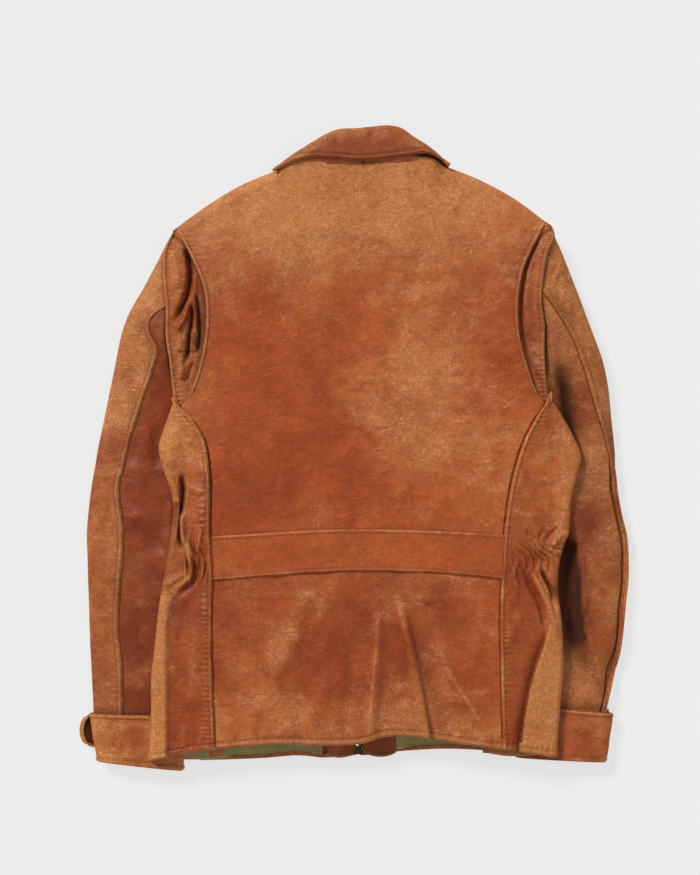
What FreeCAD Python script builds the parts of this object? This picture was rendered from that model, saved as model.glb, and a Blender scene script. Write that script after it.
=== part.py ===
"""Leather riding jacket, lying face down: back panels up, front panels and zip on the surface.

Millimetres. +Z points up from the surface, +Y from hem to collar, +X to the wearer's right.
The origin is the middle of the jacket's outline, on the surface that it lies on.
"""

import FreeCAD, Part
import math
import os

V = FreeCAD.Vector

# ---- driving dimensions ----
LEATHER = 2.0  # one thickness of garment leather
CLOTH = 0.8  # lining and zip tape
GAP = 0.3  # between layers that only lie on each other
BODY_HEIGHT = 44.0  # surface to the back panels' outer face
SLEEVE_HEIGHT = 24.5  # a sleeve lying flat
SIDE_UNDER = SLEEVE_HEIGHT + 1.1  # underside of the side panel where it lies on the sleeve
STEP_HEIGHT = 4.0  # how far the front is lifted over the zip and the collar points
STEP_X = 48.0  # the lifted strip beside the zip ends here
STEP_Y = 200.0  # the lifted chest under the collar starts here
SEAM_GAP = 1.0  # between the back panels' edge and the side panel

SHOULDER_Y = 264.0
SHOULDER_X = 221.0
UNDERARM_Y = 58.0
NECK_X = 98.0
NECK_Y = 334.0
FRONT_HEM_Y = -372.0
FRONT_SEAM_X = 150.0

BELT_TOP_Y = -107.0
BELT_BOTTOM_Y = -156.0
BELT_BOW = 9.0  # how far the belt rises at the middle of the back
BACK_SPLIT_Y = -129.0  # upper and lower back panels meet under the belt

ZIP_EDGE_X = 7.0  # front edges stand this far from the middle of the chain
ZIP_TOP_Y = 256.0
ZIP_BOTTOM_Y = -358.0
TOOTH_PITCH = 4.0
TOOTH_WIDTH = 1.6
TOOTH_REACH = 0.8  # how far a tooth's nose crosses the middle
TOOTH_BACK = 2.6
TOOTH_HEIGHT = 2.8
TAPE_Z = STEP_HEIGHT + LEATHER + 0.1
CHAIN_Z = TAPE_Z + CLOTH / 2
SLIDER_HALF_WIDTH = 5.4
SLIDER_HALF_LENGTH = 8.0
SLIDER_Y = 255.0
PLATE = 1.0  # the slider's plates
PULL_Z = 2.1
PULL_Y = SLIDER_Y - 2.0
PIN_R = 0.7
PIN_CLEARANCE = 0.05

COLLAR_FOLD_Y = 383.0
COLLAR_EDGE_Y = 346.0
STAND_TOP_Y = 379.0
LEAF_Z = 45.1

CUFF_ROWS = {"left": (-318.0, -386.0), "right": (-312.0, -376.0)}  # top and bottom edge
CUFF_Z = 4.6
CUFF_WALL = 2.2
CUFF_HEIGHT = 25.2
TABS = {"left": (286.0, 334.0, 303.0), "right": (303.0, 257.0, 269.0)}  # root, end and snap, across
TAB_WIDTH = 38.0
TAB_Z = 0.9
SNAP_R = 6.0

# ---- outlines of the right half, from the middle outwards ----
NECKLINE = [(0, 339), (50, 338), (NECK_X, NECK_Y)]
SHOULDER = [(NECK_X, NECK_Y), (150, 317), (194, 290), (SHOULDER_X, SHOULDER_Y)]
PLEAT_EDGE = [(SHOULDER_X, SHOULDER_Y), (197, 215), (190, 165), (193, 115), (217, UNDERARM_Y)]
SIDE_SEAM = [(217, UNDERARM_Y), (188, -10), (177, -95), (171, -160), (170, -250), (171, -356)]
BACK_HEM = [(171, -356), (90, -350), (0, -347)]
FRONT_NECK = [(ZIP_EDGE_X, 262), (60, 283), (NECK_X, NECK_Y)]
FRONT_ARMHOLE = [(SHOULDER_X, SHOULDER_Y), (184, 205), (172, 150), (160, 95), (FRONT_SEAM_X, UNDERARM_Y)]

# side panel stations: y, back seam x, fold x
SIDE_STATIONS = [
    (57, 219, 240), (25, 203, 252), (-12, 190, 259), (-50, 184, 254), (-98, 179, 238),
    (-150, 174, 240), (-205, 172, 242), (-276, 172, 245), (-376, 173, 244),
]

# sleeve stations: y, inner edge x, outer edge x, underside z, top z
SLEEVE_STATIONS = {
    "left": [
        (262, 225, 233, 8, 26), (240, 209, 240, 4, 32), (205, 190, 252, 1, 34), (155, 178, 276, 0, 33),
        (110, 177, 288, 0, 28), (75, 180, 297, 0, SLEEVE_HEIGHT), (0, 182, 313, 0, SLEEVE_HEIGHT),
        (-115, 184, 326, 0, SLEEVE_HEIGHT), (-240, 197, 322, 0, SLEEVE_HEIGHT), (-317, 209, 320, 0, SLEEVE_HEIGHT),
    ],
    "right": [
        (262, 226, 235, 8, 26), (240, 209, 244, 4, 32), (205, 190, 261, 1, 34), (155, 178, 277, 0, 33),
        (110, 177, 289, 0, 28), (75, 180, 296, 0, SLEEVE_HEIGHT), (0, 182, 311, 0, SLEEVE_HEIGHT),
        (-115, 184, 324, 0, SLEEVE_HEIGHT), (-240, 190, 315, 0, SLEEVE_HEIGHT), (-311, 196, 306, 0, SLEEVE_HEIGHT),
    ],
}
# the seam between the outer and the under sleeve, seen from above
SLEEVE_SEAM = {
    "left": [(228, 262), (231, 170), (249, 145), (244, 105), (267, 35), (283, -39), (283, -120), (288, -220), (284, -330)],
    "right": [(230, 262), (222, 183), (259, 127), (289, 33), (308, -45), (316, -115), (309, -200), (300, -270), (290, -330)],
}
# cuff edges: inner x and outer x, at the top and at the bottom
CUFF_EDGES = {"left": ((208, 323), (209, 314)), "right": ((195, 307), (188, 299))}

POCKET_MIDDLE = (98.0, -195.0)
POCKET_LENGTH = 140.0
POCKET_WIDTH = 16.0
POCKET_SLANT = 14.0  # degrees

SIDES = {"left": -1, "right": 1}


# ---- shape helpers ----
def curve(points):
    """One edge: straight through two points, a smooth curve through more."""
    vectors = [V(x, y, 0) for x, y in points]
    if len(vectors) == 2:
        return Part.makeLine(*vectors)
    spline = Part.BSplineCurve()
    spline.interpolate(vectors)
    return spline.toShape()


def prism(runs, low, high):
    """A closed outline of runs of points, each run starting where the last one ended, raised from low to high."""
    closed = runs + ([[runs[-1][-1], runs[0][0]]] if runs[-1][-1] != runs[0][0] else [])
    face = Part.Face(Part.Wire([curve(run) for run in closed]))
    face.translate(V(0, 0, low))
    return face.extrude(V(0, 0, high - low))


def block(x0, x1, y0, y1, z0, z1):
    return Part.makeBox(x1 - x0, y1 - y0, z1 - z0, V(x0, y0, z0))


def flipped(run):
    """A run mirrored to the other side and walked the other way."""
    return [(-x, y) for x, y in reversed(run)]


def on_side(shape, side):
    """Shapes are drawn for the right side; the left one is their mirror image."""
    return shape if side == "right" else shape.mirror(V(0, 0, 0), V(1, 0, 0))


def save(name, shape):
    shape.exportStep(f"parts/{name}.step")


def save_pair(name, make):
    """Both sides of a mirrored piece, each in its own node."""
    for side in SIDES:
        save(f"{name}_{side}", on_side(make(), side))


def shortened(run, y):
    """The part of a run above y, ending at y."""
    kept = [p for p in run if p[1] > y + 1]
    below = next(p for p in run if p[1] <= y + 1)
    above = kept[-1]
    share = (above[1] - y) / (above[1] - below[1])
    return kept + [(above[0] + share * (below[0] - above[0]), y)]


def grown(run, dx=0.0, dy=0.0):
    return [(x + dx, y + dy) for x, y in run]


def rounded_section(x0, x1, z0, z1, y, share=0.47):
    """A rounded rectangle across the sleeve at y."""
    r = share * min(x1 - x0, z1 - z0)
    k = r * (1 - math.sqrt(0.5))

    def at(x, z):
        return V(x, y, z)

    corners = [
        (at(x1 - r, z0), at(x1 - k, z0 + k), at(x1, z0 + r)),
        (at(x1, z1 - r), at(x1 - k, z1 - k), at(x1 - r, z1)),
        (at(x0 + r, z1), at(x0 + k, z1 - k), at(x0, z1 - r)),
        (at(x0, z0 + r), at(x0 + k, z0 + k), at(x0 + r, z0)),
    ]
    edges = []
    for i, corner in enumerate(corners):
        edges.append(Part.Arc(*corner).toShape())
        edges.append(Part.makeLine(corner[2], corners[(i + 1) % 4][0]))
    return Part.Wire(edges)


# ---- back of the body ----
def back_upper():
    """Upper back: a plate from neck to belt whose shoulders turn down to meet the fronts."""
    low = BODY_HEIGHT - LEATHER
    side = shortened(SIDE_SEAM, BACK_SPLIT_Y + GAP)
    right = [NECKLINE, SHOULDER, PLEAT_EDGE, side]
    runs = right + [[side[-1], (-side[-1][0], side[-1][1])]] + [flipped(r) for r in reversed(right)]
    plate = prism(runs, low, BODY_HEIGHT)
    inner = [(x - 2.2, y - 2.2) for x, y in SHOULDER]
    wall = prism([SHOULDER, [SHOULDER[-1], inner[-1]], list(reversed(inner))], STEP_HEIGHT + LEATHER + 0.2, low)
    return plate.fuse([wall, on_side(wall, "left")]).removeSplitter()


def back_skirt():
    """Lower back panel, from under the belt to the hem."""
    above = shortened(SIDE_SEAM, BACK_SPLIT_Y - GAP)[-1]
    side = [above] + [p for p in SIDE_SEAM if p[1] < above[1] - 1]
    runs = [side, BACK_HEM, flipped(BACK_HEM), flipped(side)]
    return prism(runs, BODY_HEIGHT - LEATHER, BODY_HEIGHT)


def half_belt():
    """The stitched-on belt, over the joint of the two back panels."""
    ends = 175, 172
    top = [(-ends[0], BELT_TOP_Y), (0, BELT_TOP_Y + BELT_BOW), (ends[0], BELT_TOP_Y)]
    bottom = [(ends[1], BELT_BOTTOM_Y), (0, BELT_BOTTOM_Y + BELT_BOW), (-ends[1], BELT_BOTTOM_Y)]
    return prism([top, [top[-1], bottom[0]], bottom], BODY_HEIGHT + GAP, BODY_HEIGHT + GAP + LEATHER)


def pleat_gusset():
    """The folded-in strip of the action pleat, between the back's free edge and the sleeve."""
    z = 36.5
    inner = [(215, 258), (190, 212), (183, 160), (187, 112), (212, 64)]
    outer = [(221, 64), (229, 120), (228, 190), (226, 258)]
    return prism([inner, [inner[-1], outer[0]], outer, [outer[-1], inner[0]]], z, z + LEATHER)


def side_section(y, seam_x, fold_x):
    """The side panel across the body: back leg, folded edge, leg on the sleeve, slope down to the front."""
    top, under = BODY_HEIGHT, SIDE_UNDER
    r_out = (top - under) / 2
    r_in = r_out - LEATHER
    x, z = fold_x - r_out, (top + under) / 2
    knee, foot = FRONT_SEAM_X + 28, FRONT_SEAM_X + 1

    def at(px, pz):
        return V(px, y, pz)

    edges = [
        Part.makeLine(at(seam_x, top), at(x, top)),
        Part.Arc(at(x, top), at(fold_x, z), at(x, under)).toShape(),
        Part.makeLine(at(x, under), at(knee, under)),
        Part.makeLine(at(knee, under), at(foot + 2, 0)),
        Part.makeLine(at(foot + 2, 0), at(foot, 0)),
        Part.makeLine(at(foot, 0), at(foot, LEATHER)),
        Part.makeLine(at(foot, LEATHER), at(knee - 1.5, under + LEATHER)),
        Part.makeLine(at(knee - 1.5, under + LEATHER), at(x, under + LEATHER)),
        Part.Arc(at(x, under + LEATHER), at(x + r_in, z), at(x, top - LEATHER)).toShape(),
        Part.makeLine(at(x, top - LEATHER), at(seam_x, top - LEATHER)),
        Part.makeLine(at(seam_x, top - LEATHER), at(seam_x, top)),
    ]
    return Part.Wire(edges)


def side_panel():
    """Wraps from the back over the folded edge to the front, with its hem cut on a slant."""
    sections = [side_section(y, seam + SEAM_GAP, fold) for y, seam, fold in SIDE_STATIONS]
    panel = Part.makeLoft(sections, True, True)
    hem = prism([[(140, 60), (275, 60)], [(275, 60), (275, -374)], [(275, -374), (140, -352)]], -5, BODY_HEIGHT + 5)
    return panel.common(hem)


def waist_elastic():
    """The elastic sewn inside the gathered waist of the side panel."""
    return block(185, 226, -108, -90, BODY_HEIGHT - LEATHER - 1.6, BODY_HEIGHT - LEATHER - GAP)


# ---- front of the body ----
def stepped(runs, z, thickness, step_x=STEP_X, step_y=STEP_Y):
    """A plate that lies at z and is lifted by the step near the zip and under the collar."""
    reach = 500
    tall = prism(runs, z, z + STEP_HEIGHT + thickness)
    middle = block(0, step_x, -reach, reach, -5, 60)
    chest = block(0, reach, step_y, reach, -5, 60)
    lifted_area = middle.fuse(chest)
    riser_area = block(0, step_x + thickness, -reach, reach, -5, 60).fuse(
        block(0, reach, step_y - thickness, reach, -5, 60)
    )
    low = tall.common(block(0, reach, -reach, reach, z - 1, z + thickness)).cut(lifted_area)
    high = tall.common(block(0, reach, -reach, reach, z + STEP_HEIGHT, z + STEP_HEIGHT + thickness))
    return low.fuse([high.common(riser_area), tall.common(riser_area).cut(lifted_area)]).removeSplitter()


def pocket_slot(width, length, z0, z1):
    slot = block(-width / 2, width / 2, -length / 2, length / 2, z0, z1)
    slot.rotate(V(0, 0, 0), V(0, 0, 1), -POCKET_SLANT)
    slot.translate(V(POCKET_MIDDLE[0], POCKET_MIDDLE[1], 0))
    return slot


def front_panel():
    seam = [(FRONT_SEAM_X, UNDERARM_Y), (FRONT_SEAM_X, FRONT_HEM_Y)]
    edge = [(ZIP_EDGE_X, FRONT_HEM_Y), (ZIP_EDGE_X, 262)]
    runs = [FRONT_NECK, SHOULDER, FRONT_ARMHOLE, seam, [seam[-1], edge[0]], edge]
    return stepped(runs, 0, LEATHER).cut(pocket_slot(POCKET_WIDTH, POCKET_LENGTH, -1, 5))


def front_facing():
    """Leather strip inside the front edge, over the zip tape."""
    return block(ZIP_EDGE_X, STEP_X - 2, FRONT_HEM_Y + 1, 257, TAPE_Z + CLOTH + 0.1, TAPE_Z + CLOTH + 0.1 + LEATHER)


def front_lining():
    runs = [
        [(STEP_X + 3, 255), (92, 322)], [(92, 322), (145, 310), (188, 284), (207, 264)],
        [(207, 264), (176, 205), (164, 150), (152, 95), (144, 60)],
        [(144, 60), (144, FRONT_HEM_Y + 6)], [(144, FRONT_HEM_Y + 6), (STEP_X + 3, FRONT_HEM_Y + 6)],
    ]
    return stepped(runs, LEATHER + 1.8, CLOTH, STEP_X, STEP_Y - LEATHER - GAP)


def pocket_welt():
    return pocket_slot(POCKET_WIDTH - 0.6, POCKET_LENGTH - 0.6, 0.05, LEATHER)


def pocket_bag():
    """Two layers of pocketing pressed flat behind the welt."""
    bag = [[(62, -110), (136, -110)], [(136, -110), (144, -260)], [(144, -260), (120, -300), (62, -290)]]
    return prism(bag, LEATHER + 0.1, LEATHER + 1.6)


def back_lining():
    side = [(210, 58), (181, -10), (170, -95), (164, -160), (164, -345)]
    right = [
        [(0, 325), (90, 322)], [(90, 322), (145, 310), (188, 284), (212, 260)],
        [(212, 260), (189, 215), (182, 165), (185, 115), (210, 58)], side,
    ]
    runs = right + [[side[-1], (-side[-1][0], side[-1][1])]] + [flipped(r) for r in reversed(right)]
    return prism(runs, BODY_HEIGHT - LEATHER - 0.1 - CLOTH, BODY_HEIGHT - LEATHER - 0.1)


def hanger_loop():
    """Strap sewn inside the back neck."""
    z = BODY_HEIGHT - LEATHER - CLOTH - 0.3
    return block(-36, 36, 312, 320, z - LEATHER, z)


# ---- zip ----
def zip_tape():
    tape = block(TOOTH_BACK + 0.1, 17, FRONT_HEM_Y + 1, 262, TAPE_Z, TAPE_Z + CLOTH)
    return tape.cut(block(0, 4.3, ZIP_BOTTOM_Y - 15, ZIP_BOTTOM_Y - 1.9, TAPE_Z - 1, TAPE_Z + 2))


def zip_teeth(side):
    """One row of teeth; the two rows are half a pitch apart, so their noses pass each other."""
    half = TOOTH_WIDTH / 2
    outline = [
        V(TOOTH_BACK, -half, 0), V(TOOTH_BACK, half, 0), V(0.9, half, 0), V(-TOOTH_REACH, 0.65 * half, 0),
        V(-TOOTH_REACH, -0.65 * half, 0), V(0.9, -half, 0), V(TOOTH_BACK, -half, 0),
    ]
    tooth = Part.Face(Part.makePolygon(outline)).extrude(V(0, 0, TOOTH_HEIGHT))
    tooth.translate(V(0, 0, CHAIN_Z - TOOTH_HEIGHT / 2))
    start = ZIP_BOTTOM_Y + 3 + (TOOTH_PITCH / 2 if side == "left" else 0)
    count = int((ZIP_TOP_Y - start) // TOOTH_PITCH)
    row = []
    for i in range(count):
        copy = tooth.copy()
        copy.translate(V(0, start + i * TOOTH_PITCH, 0))
        row.append(copy)
    return Part.makeCompound(row)


def zip_slider():
    """Two plates with turned-in flanges, joined by the wedge at the top, and lugs that hold the pull."""
    w, n, y = SLIDER_HALF_WIDTH, SLIDER_HALF_LENGTH, SLIDER_Y
    inside = TOOTH_HEIGHT / 2 + 0.35
    flange = 1.0
    tape_slot = 0.75
    front = block(-w, w, y - n, y + n, CHAIN_Z - inside - PLATE, CHAIN_Z - inside)
    back = block(-w, w, y - n, y + n, CHAIN_Z + inside, CHAIN_Z + inside + PLATE)
    plates = [front, back]
    for x0, x1 in ((-w, -w + flange), (w - flange, w)):
        plates.append(block(x0, x1, y - n, y + n - 4, CHAIN_Z - inside, CHAIN_Z - tape_slot))
        plates.append(block(x0, x1, y - n, y + n - 4, CHAIN_Z + tape_slot, CHAIN_Z + inside))
    plates.append(block(-1.2, 1.2, y + n - 4.5, y + n, CHAIN_Z - inside, CHAIN_Z + inside))
    lug_top = CHAIN_Z - inside - PLATE
    for x0, x1 in ((-3.2, -2.0), (2.0, 3.2)):
        plates.append(block(x0, x1, PULL_Y - 1.3, PULL_Y + 1.3, PULL_Z - 1.3, lug_top))
    plates.append(Part.makeCylinder(PIN_R, 6.4, V(-3.2, PULL_Y, PULL_Z), V(1, 0, 0)))
    solid = plates[0].fuse(plates[1:]).removeSplitter()
    corners = [e for e in solid.Edges if abs(e.tangentAt(e.FirstParameter).z) > 0.99 and abs(e.BoundBox.XMax) > w - 0.01]
    return solid.makeFillet(0.8, [e for e in corners if e.BoundBox.YMin > y + n - 0.1])


def zip_pull():
    """Flat pull with a barrel that turns on the slider's pin and a slot at its end."""
    r_out = 1.3
    barrel = Part.makeCylinder(r_out, 3.4, V(-1.7, PULL_Y, PULL_Z), V(1, 0, 0))
    neck = block(-1.7, 1.7, PULL_Y - 9, PULL_Y, PULL_Z - 0.6, PULL_Z + 0.6)
    end = PULL_Y - 33
    tag = prism(
        [[(1.7, PULL_Y - 8), (4.6, PULL_Y - 13)], [(4.6, PULL_Y - 13), (4.6, end + 3)],
         [(4.6, end + 3), (0, end), (-4.6, end + 3)], [(-4.6, end + 3), (-4.6, PULL_Y - 13)],
         [(-4.6, PULL_Y - 13), (-1.7, PULL_Y - 8)]],
        PULL_Z - 0.6, PULL_Z + 0.6,
    )
    bore = Part.makeCylinder(PIN_R + PIN_CLEARANCE, 6, V(-3, PULL_Y, PULL_Z), V(1, 0, 0))
    slot = prism(
        [[(1.7, end + 7), (1.7, end + 13)], [(1.7, end + 13), (0, end + 14.7), (-1.7, end + 13)],
         [(-1.7, end + 13), (-1.7, end + 7)], [(-1.7, end + 7), (0, end + 5.3), (1.7, end + 7)]],
        0, 6,
    )
    return barrel.fuse([neck, tag]).cut(bore).cut(slot).removeSplitter()


PIN_X = 1.6


def zip_box():
    """Retainer box at the bottom of the chain, open for the insertion pin."""
    top = ZIP_BOTTOM_Y - 2
    body = block(-4.2, 4.2, top - 10, top, CHAIN_Z - 1.9, CHAIN_Z + 1.9)
    bore = Part.makeCylinder(1.15, 7, V(PIN_X, top - 7, CHAIN_Z), V(0, 1, 0))
    return body.cut(bore)


def zip_pin():
    top = ZIP_BOTTOM_Y - 2
    return Part.makeCylinder(1.0, 9, V(PIN_X, top - 6.5, CHAIN_Z), V(0, 1, 0))


def zip_stops():
    """The two top stops that the slider comes up against."""
    y = SLIDER_Y + SLIDER_HALF_LENGTH + 0.3
    stop = block(1.4, TOOTH_BACK, y, y + 2.5, CHAIN_Z - 1.4, CHAIN_Z + 1.4)
    return Part.makeCompound([stop, on_side(stop, "left")])


# ---- collar ----
COLLAR_SIDE = [(104, 335), (72, 358), (40, STAND_TOP_Y)]


def collar_stand_back():
    """Half of the back stand: a plate above the neckline, with the end that turns round to the front."""
    low = BODY_HEIGHT - LEATHER
    neck = [(0.3, 339.6), (50, 338.6), (NECK_X + 1, NECK_Y + 1)]
    runs = [neck, [neck[-1], COLLAR_SIDE[0]], COLLAR_SIDE, [COLLAR_SIDE[-1], (0.3, STAND_TOP_Y)]]
    inner = [(x - 2.2, y - 1.2) for x, y in COLLAR_SIDE]
    wall = prism([COLLAR_SIDE, [COLLAR_SIDE[-1], inner[-1]], list(reversed(inner))], STEP_HEIGHT + LEATHER + 0.2, low)
    return prism(runs, low, BODY_HEIGHT).fuse(wall).removeSplitter()


def collar_stand_front():
    """Front half of the stand, lying above the front neckline."""
    neck = [(9, 265.5), (60, 286.5), (NECK_X + 1, NECK_Y + 2)]
    top = [(40, STAND_TOP_Y), (44, 330), (9, 302)]
    runs = [neck, [neck[-1], COLLAR_SIDE[0]], COLLAR_SIDE, top]
    return prism(runs, STEP_HEIGHT, STEP_HEIGHT + LEATHER)


def leaf_runs():
    edge = [(0, COLLAR_EDGE_Y), (68, COLLAR_EDGE_Y + 2), (102, COLLAR_EDGE_Y - 14)]
    end = [(102, COLLAR_EDGE_Y - 14), (109, COLLAR_EDGE_Y - 8)]
    fold = [end[-1], (74, 362), (48, 379), (24, COLLAR_FOLD_Y), (0, COLLAR_FOLD_Y)]
    return [edge, end, fold, flipped(fold), flipped(end), flipped(edge)]


def collar_leaf():
    return prism(leaf_runs(), LEAF_Z + LEATHER + 0.1, LEAF_Z + 2 * LEATHER + 0.1)


def collar_underleaf():
    return prism(leaf_runs(), LEAF_Z, LEAF_Z + LEATHER)


def collar_point():
    """The front end of the collar's fall, with its point."""
    fold = [(40, 380), (40, 330), (11, 298)]
    edge = [(11, 298), (76, 226)]
    outer = [(76, 226), (104, 285), (107, 336)]
    return prism([fold, edge, outer, [(107, 336), (72, 361), (40, 380)]], GAP, STEP_HEIGHT - GAP)


# ---- sleeves ----
def lofted(stations, inset=0.0, reach=0.0):
    """A closed flat tube through the stations, taken in by inset and run past its ends by reach."""
    sections = []
    for i, (y, x0, x1, z0, z1) in enumerate(stations):
        end = reach if i == 0 else -reach if i == len(stations) - 1 else 0
        sections.append(rounded_section(x0 + inset, x1 - inset, z0 + inset, z1 - inset, y + end))
    return Part.makeLoft(sections, True, True)


def armhole_window():
    """Where the sleeve is open towards the body, below its cap."""
    run = [(150, 236), (212, 236), (196, 190), (192, 130), (196, 78), (150, 78)]
    return prism([run[:2], run[1:5], run[4:]], LEATHER + 0.5, 60)


def sleeve_tube(side):
    stations = SLEEVE_STATIONS[side]
    return lofted(stations).cut(lofted(stations, LEATHER, 1.0)).cut(armhole_window())


def seam_cutter(side, shift):
    """Everything outside the sleeve's back seam."""
    run = grown(SLEEVE_SEAM[side], shift)
    far = 400
    return prism([run, [run[-1], (far, run[-1][1])], [(far, run[-1][1]), (far, run[0][1] + 8)],
                  [(far, run[0][1] + 8), (run[0][0], run[0][1] + 8)]], -5, 60)


def biggest(shape):
    return max(shape.Solids, key=lambda s: s.Volume)


def sleeve_outer(side):
    return biggest(sleeve_tube(side).common(seam_cutter(side, 0.2)))


def sleeve_under(side):
    return biggest(sleeve_tube(side).cut(seam_cutter(side, -0.2)))


def sleeve_lining(side):
    stations = SLEEVE_STATIONS[side][1:]
    inset = LEATHER + 0.1
    tube = lofted(stations, inset, -0.5).cut(lofted(stations, inset + CLOTH, 0.5))
    return biggest(tube.cut(armhole_window()))


# ---- cuffs ----
def cuff(side):
    """Band round the sleeve's end."""
    (in_top, out_top), (in_low, out_low) = CUFF_EDGES[side]
    top, bottom = CUFF_ROWS[side]

    def ring(inset, reach):
        sections = [
            rounded_section(in_top + inset, out_top - inset, CUFF_Z + inset, CUFF_HEIGHT - inset, top + reach),
            rounded_section(in_low + inset, out_low - inset, CUFF_Z + inset, CUFF_HEIGHT - inset, bottom - reach),
        ]
        return Part.makeLoft(sections, True, True)

    return ring(0, 0).cut(ring(CUFF_WALL, 1.0))


def snap_place(side):
    return V(TABS[side][2], sum(CUFF_ROWS[side]) / 2 + 8, 0)


def cuff_tab(side):
    """Strap under the cuff with a round end; the left one's end stands out beyond the cuff."""
    root, end, _ = TABS[side]
    y, half = snap_place(side).y, TAB_WIDTH / 2
    turn = end - math.copysign(half, end - root)
    runs = [[(root, y - half), (root, y + half)], [(root, y + half), (turn, y + half)],
            [(turn, y + half), (end, y), (turn, y - half)], [(turn, y - half), (root, y - half)]]
    return prism(runs, TAB_Z, TAB_Z + LEATHER)


def snap_cap(side):
    """Domed cap on the outside of the tab."""
    place = snap_place(side)
    return Part.makeCone(SNAP_R - 1.2, SNAP_R, 0.7, V(place.x, place.y, TAB_Z - 0.75))


def snap_stud(side):
    """Stud on the cuff, standing down to the tab."""
    place = snap_place(side)
    base = Part.makeCylinder(SNAP_R - 1.5, 0.6, V(place.x, place.y, CUFF_Z - 0.65))
    post = Part.makeCylinder(2.0, 0.9, V(place.x, place.y, TAB_Z + LEATHER + GAP))
    return base.fuse(post).removeSplitter()


def main():
    os.makedirs("parts", exist_ok=True)
    for make in (back_upper, back_skirt, half_belt, back_lining, hanger_loop, collar_leaf, collar_underleaf,
                 zip_slider, zip_pull, zip_box, zip_pin, zip_stops):
        save(make.__name__, make())
    for make in (pleat_gusset, side_panel, waist_elastic, front_panel, front_facing, front_lining,
                 pocket_welt, pocket_bag, zip_tape, collar_stand_back, collar_stand_front, collar_point):
        save_pair(make.__name__, make)
    for side in SIDES:
        save(f"zip_teeth_{side}", on_side(zip_teeth(side), side))
        for make in (sleeve_outer, sleeve_under, sleeve_lining, cuff, cuff_tab, snap_cap, snap_stud):
            save(f"{make.__name__}_{side}", on_side(make(side), side))


main()
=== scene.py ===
import bpy
import math
import numpy as np
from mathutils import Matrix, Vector


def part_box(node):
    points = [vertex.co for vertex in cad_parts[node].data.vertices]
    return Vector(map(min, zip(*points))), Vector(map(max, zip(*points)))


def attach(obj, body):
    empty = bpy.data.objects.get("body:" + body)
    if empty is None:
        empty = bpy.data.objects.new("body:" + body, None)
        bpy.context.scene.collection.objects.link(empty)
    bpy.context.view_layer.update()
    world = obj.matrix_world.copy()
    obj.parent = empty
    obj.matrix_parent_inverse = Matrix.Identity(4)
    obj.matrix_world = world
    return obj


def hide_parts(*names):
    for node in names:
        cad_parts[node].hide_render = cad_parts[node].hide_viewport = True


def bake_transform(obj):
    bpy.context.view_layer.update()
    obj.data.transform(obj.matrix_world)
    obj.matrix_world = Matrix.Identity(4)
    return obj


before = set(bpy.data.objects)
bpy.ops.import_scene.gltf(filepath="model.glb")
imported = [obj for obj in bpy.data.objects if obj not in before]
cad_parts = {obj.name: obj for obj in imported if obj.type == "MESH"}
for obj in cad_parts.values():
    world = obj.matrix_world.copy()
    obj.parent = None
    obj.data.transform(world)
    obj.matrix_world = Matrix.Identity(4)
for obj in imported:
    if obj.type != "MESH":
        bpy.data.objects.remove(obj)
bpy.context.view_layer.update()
for o in bpy.context.selected_objects:
    o.select_set(False)

# Lengths below are in millimetres, in the frame's directions; makeSheet turns them into metres.


def millimetres(node):
    low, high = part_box(node)
    return [1000 * v for v in low], [1000 * v for v in high]


backTop = millimetres("back_upper")[1][2]
sideUnder = 26.0


# Places at the shares t of a smooth line through given points.
def along(points, t):
    p = np.array(points, float)
    if len(p) > 2:
        d = np.r_[0, np.cumsum(np.linalg.norm(np.diff(p, axis=0), axis=1))]
        slope = np.gradient(p, d, axis=0)
        s = np.linspace(0, d[-1], 60 * len(p))
        k = np.clip(np.searchsorted(d, s, side="right") - 1, 0, len(d) - 2)
        h = (d[k + 1] - d[k])[:, None]
        f = (s - d[k])[:, None] / h
        p = ((2 * f**3 - 3 * f**2 + 1) * p[k] + (f**3 - 2 * f**2 + f) * h * slope[k]
             + (3 * f**2 - 2 * f**3) * p[k + 1] + (f**3 - f**2) * h * slope[k + 1])
    d = np.r_[0, np.cumsum(np.linalg.norm(np.diff(p, axis=0), axis=1))]
    return np.stack([np.interp(np.asarray(t) * d[-1], d, p[:, i]) for i in range(p.shape[1])], axis=-1)


# Shares from 0 to 1, closer together near both ends.
def shares(count, crowd=0.6):
    t = np.linspace(0, 1, count)
    return t - crowd * np.sin(2 * math.pi * t) / (2 * math.pi)


# How far each grid point is from the first and from the last one, along the grid.
def lengths(grid, axis):
    gaps = np.linalg.norm(np.diff(grid, axis=axis), axis=2)
    zero = np.zeros_like(gaps.take([0], axis=axis))
    run = np.concatenate([zero, np.cumsum(gaps, axis=axis)], axis=axis)
    return run, run.take([-1], axis=axis) - run


# Smooth noise from -1 to 1, about size across.
def noise(x, y, size, seed):
    table = np.random.RandomState(seed).uniform(-1, 1, (61, 61))
    u, v = x / size + 31, y / size + 17
    i, j = np.floor(u).astype(int), np.floor(v).astype(int)
    f, g = u - i, v - j
    f, g = f**3 * (6 * f * f - 15 * f + 10), g**3 * (6 * g * g - 15 * g + 10)
    a, b = i % 61, j % 61
    c, d = (i + 1) % 61, (j + 1) % 61
    return (table[a, b] * (1 - f) + table[c, b] * f) * (1 - g) + (table[a, d] * (1 - f) + table[c, d] * f) * g


# From 0 at low to 1 at high, with soft ends.
def step(low, high, value):
    t = np.clip((value - low) / (high - low), 0, 1)
    return t * t * (3 - 2 * t)


def bell(value, width):
    return np.exp(-((value / width) ** 2))


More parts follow.
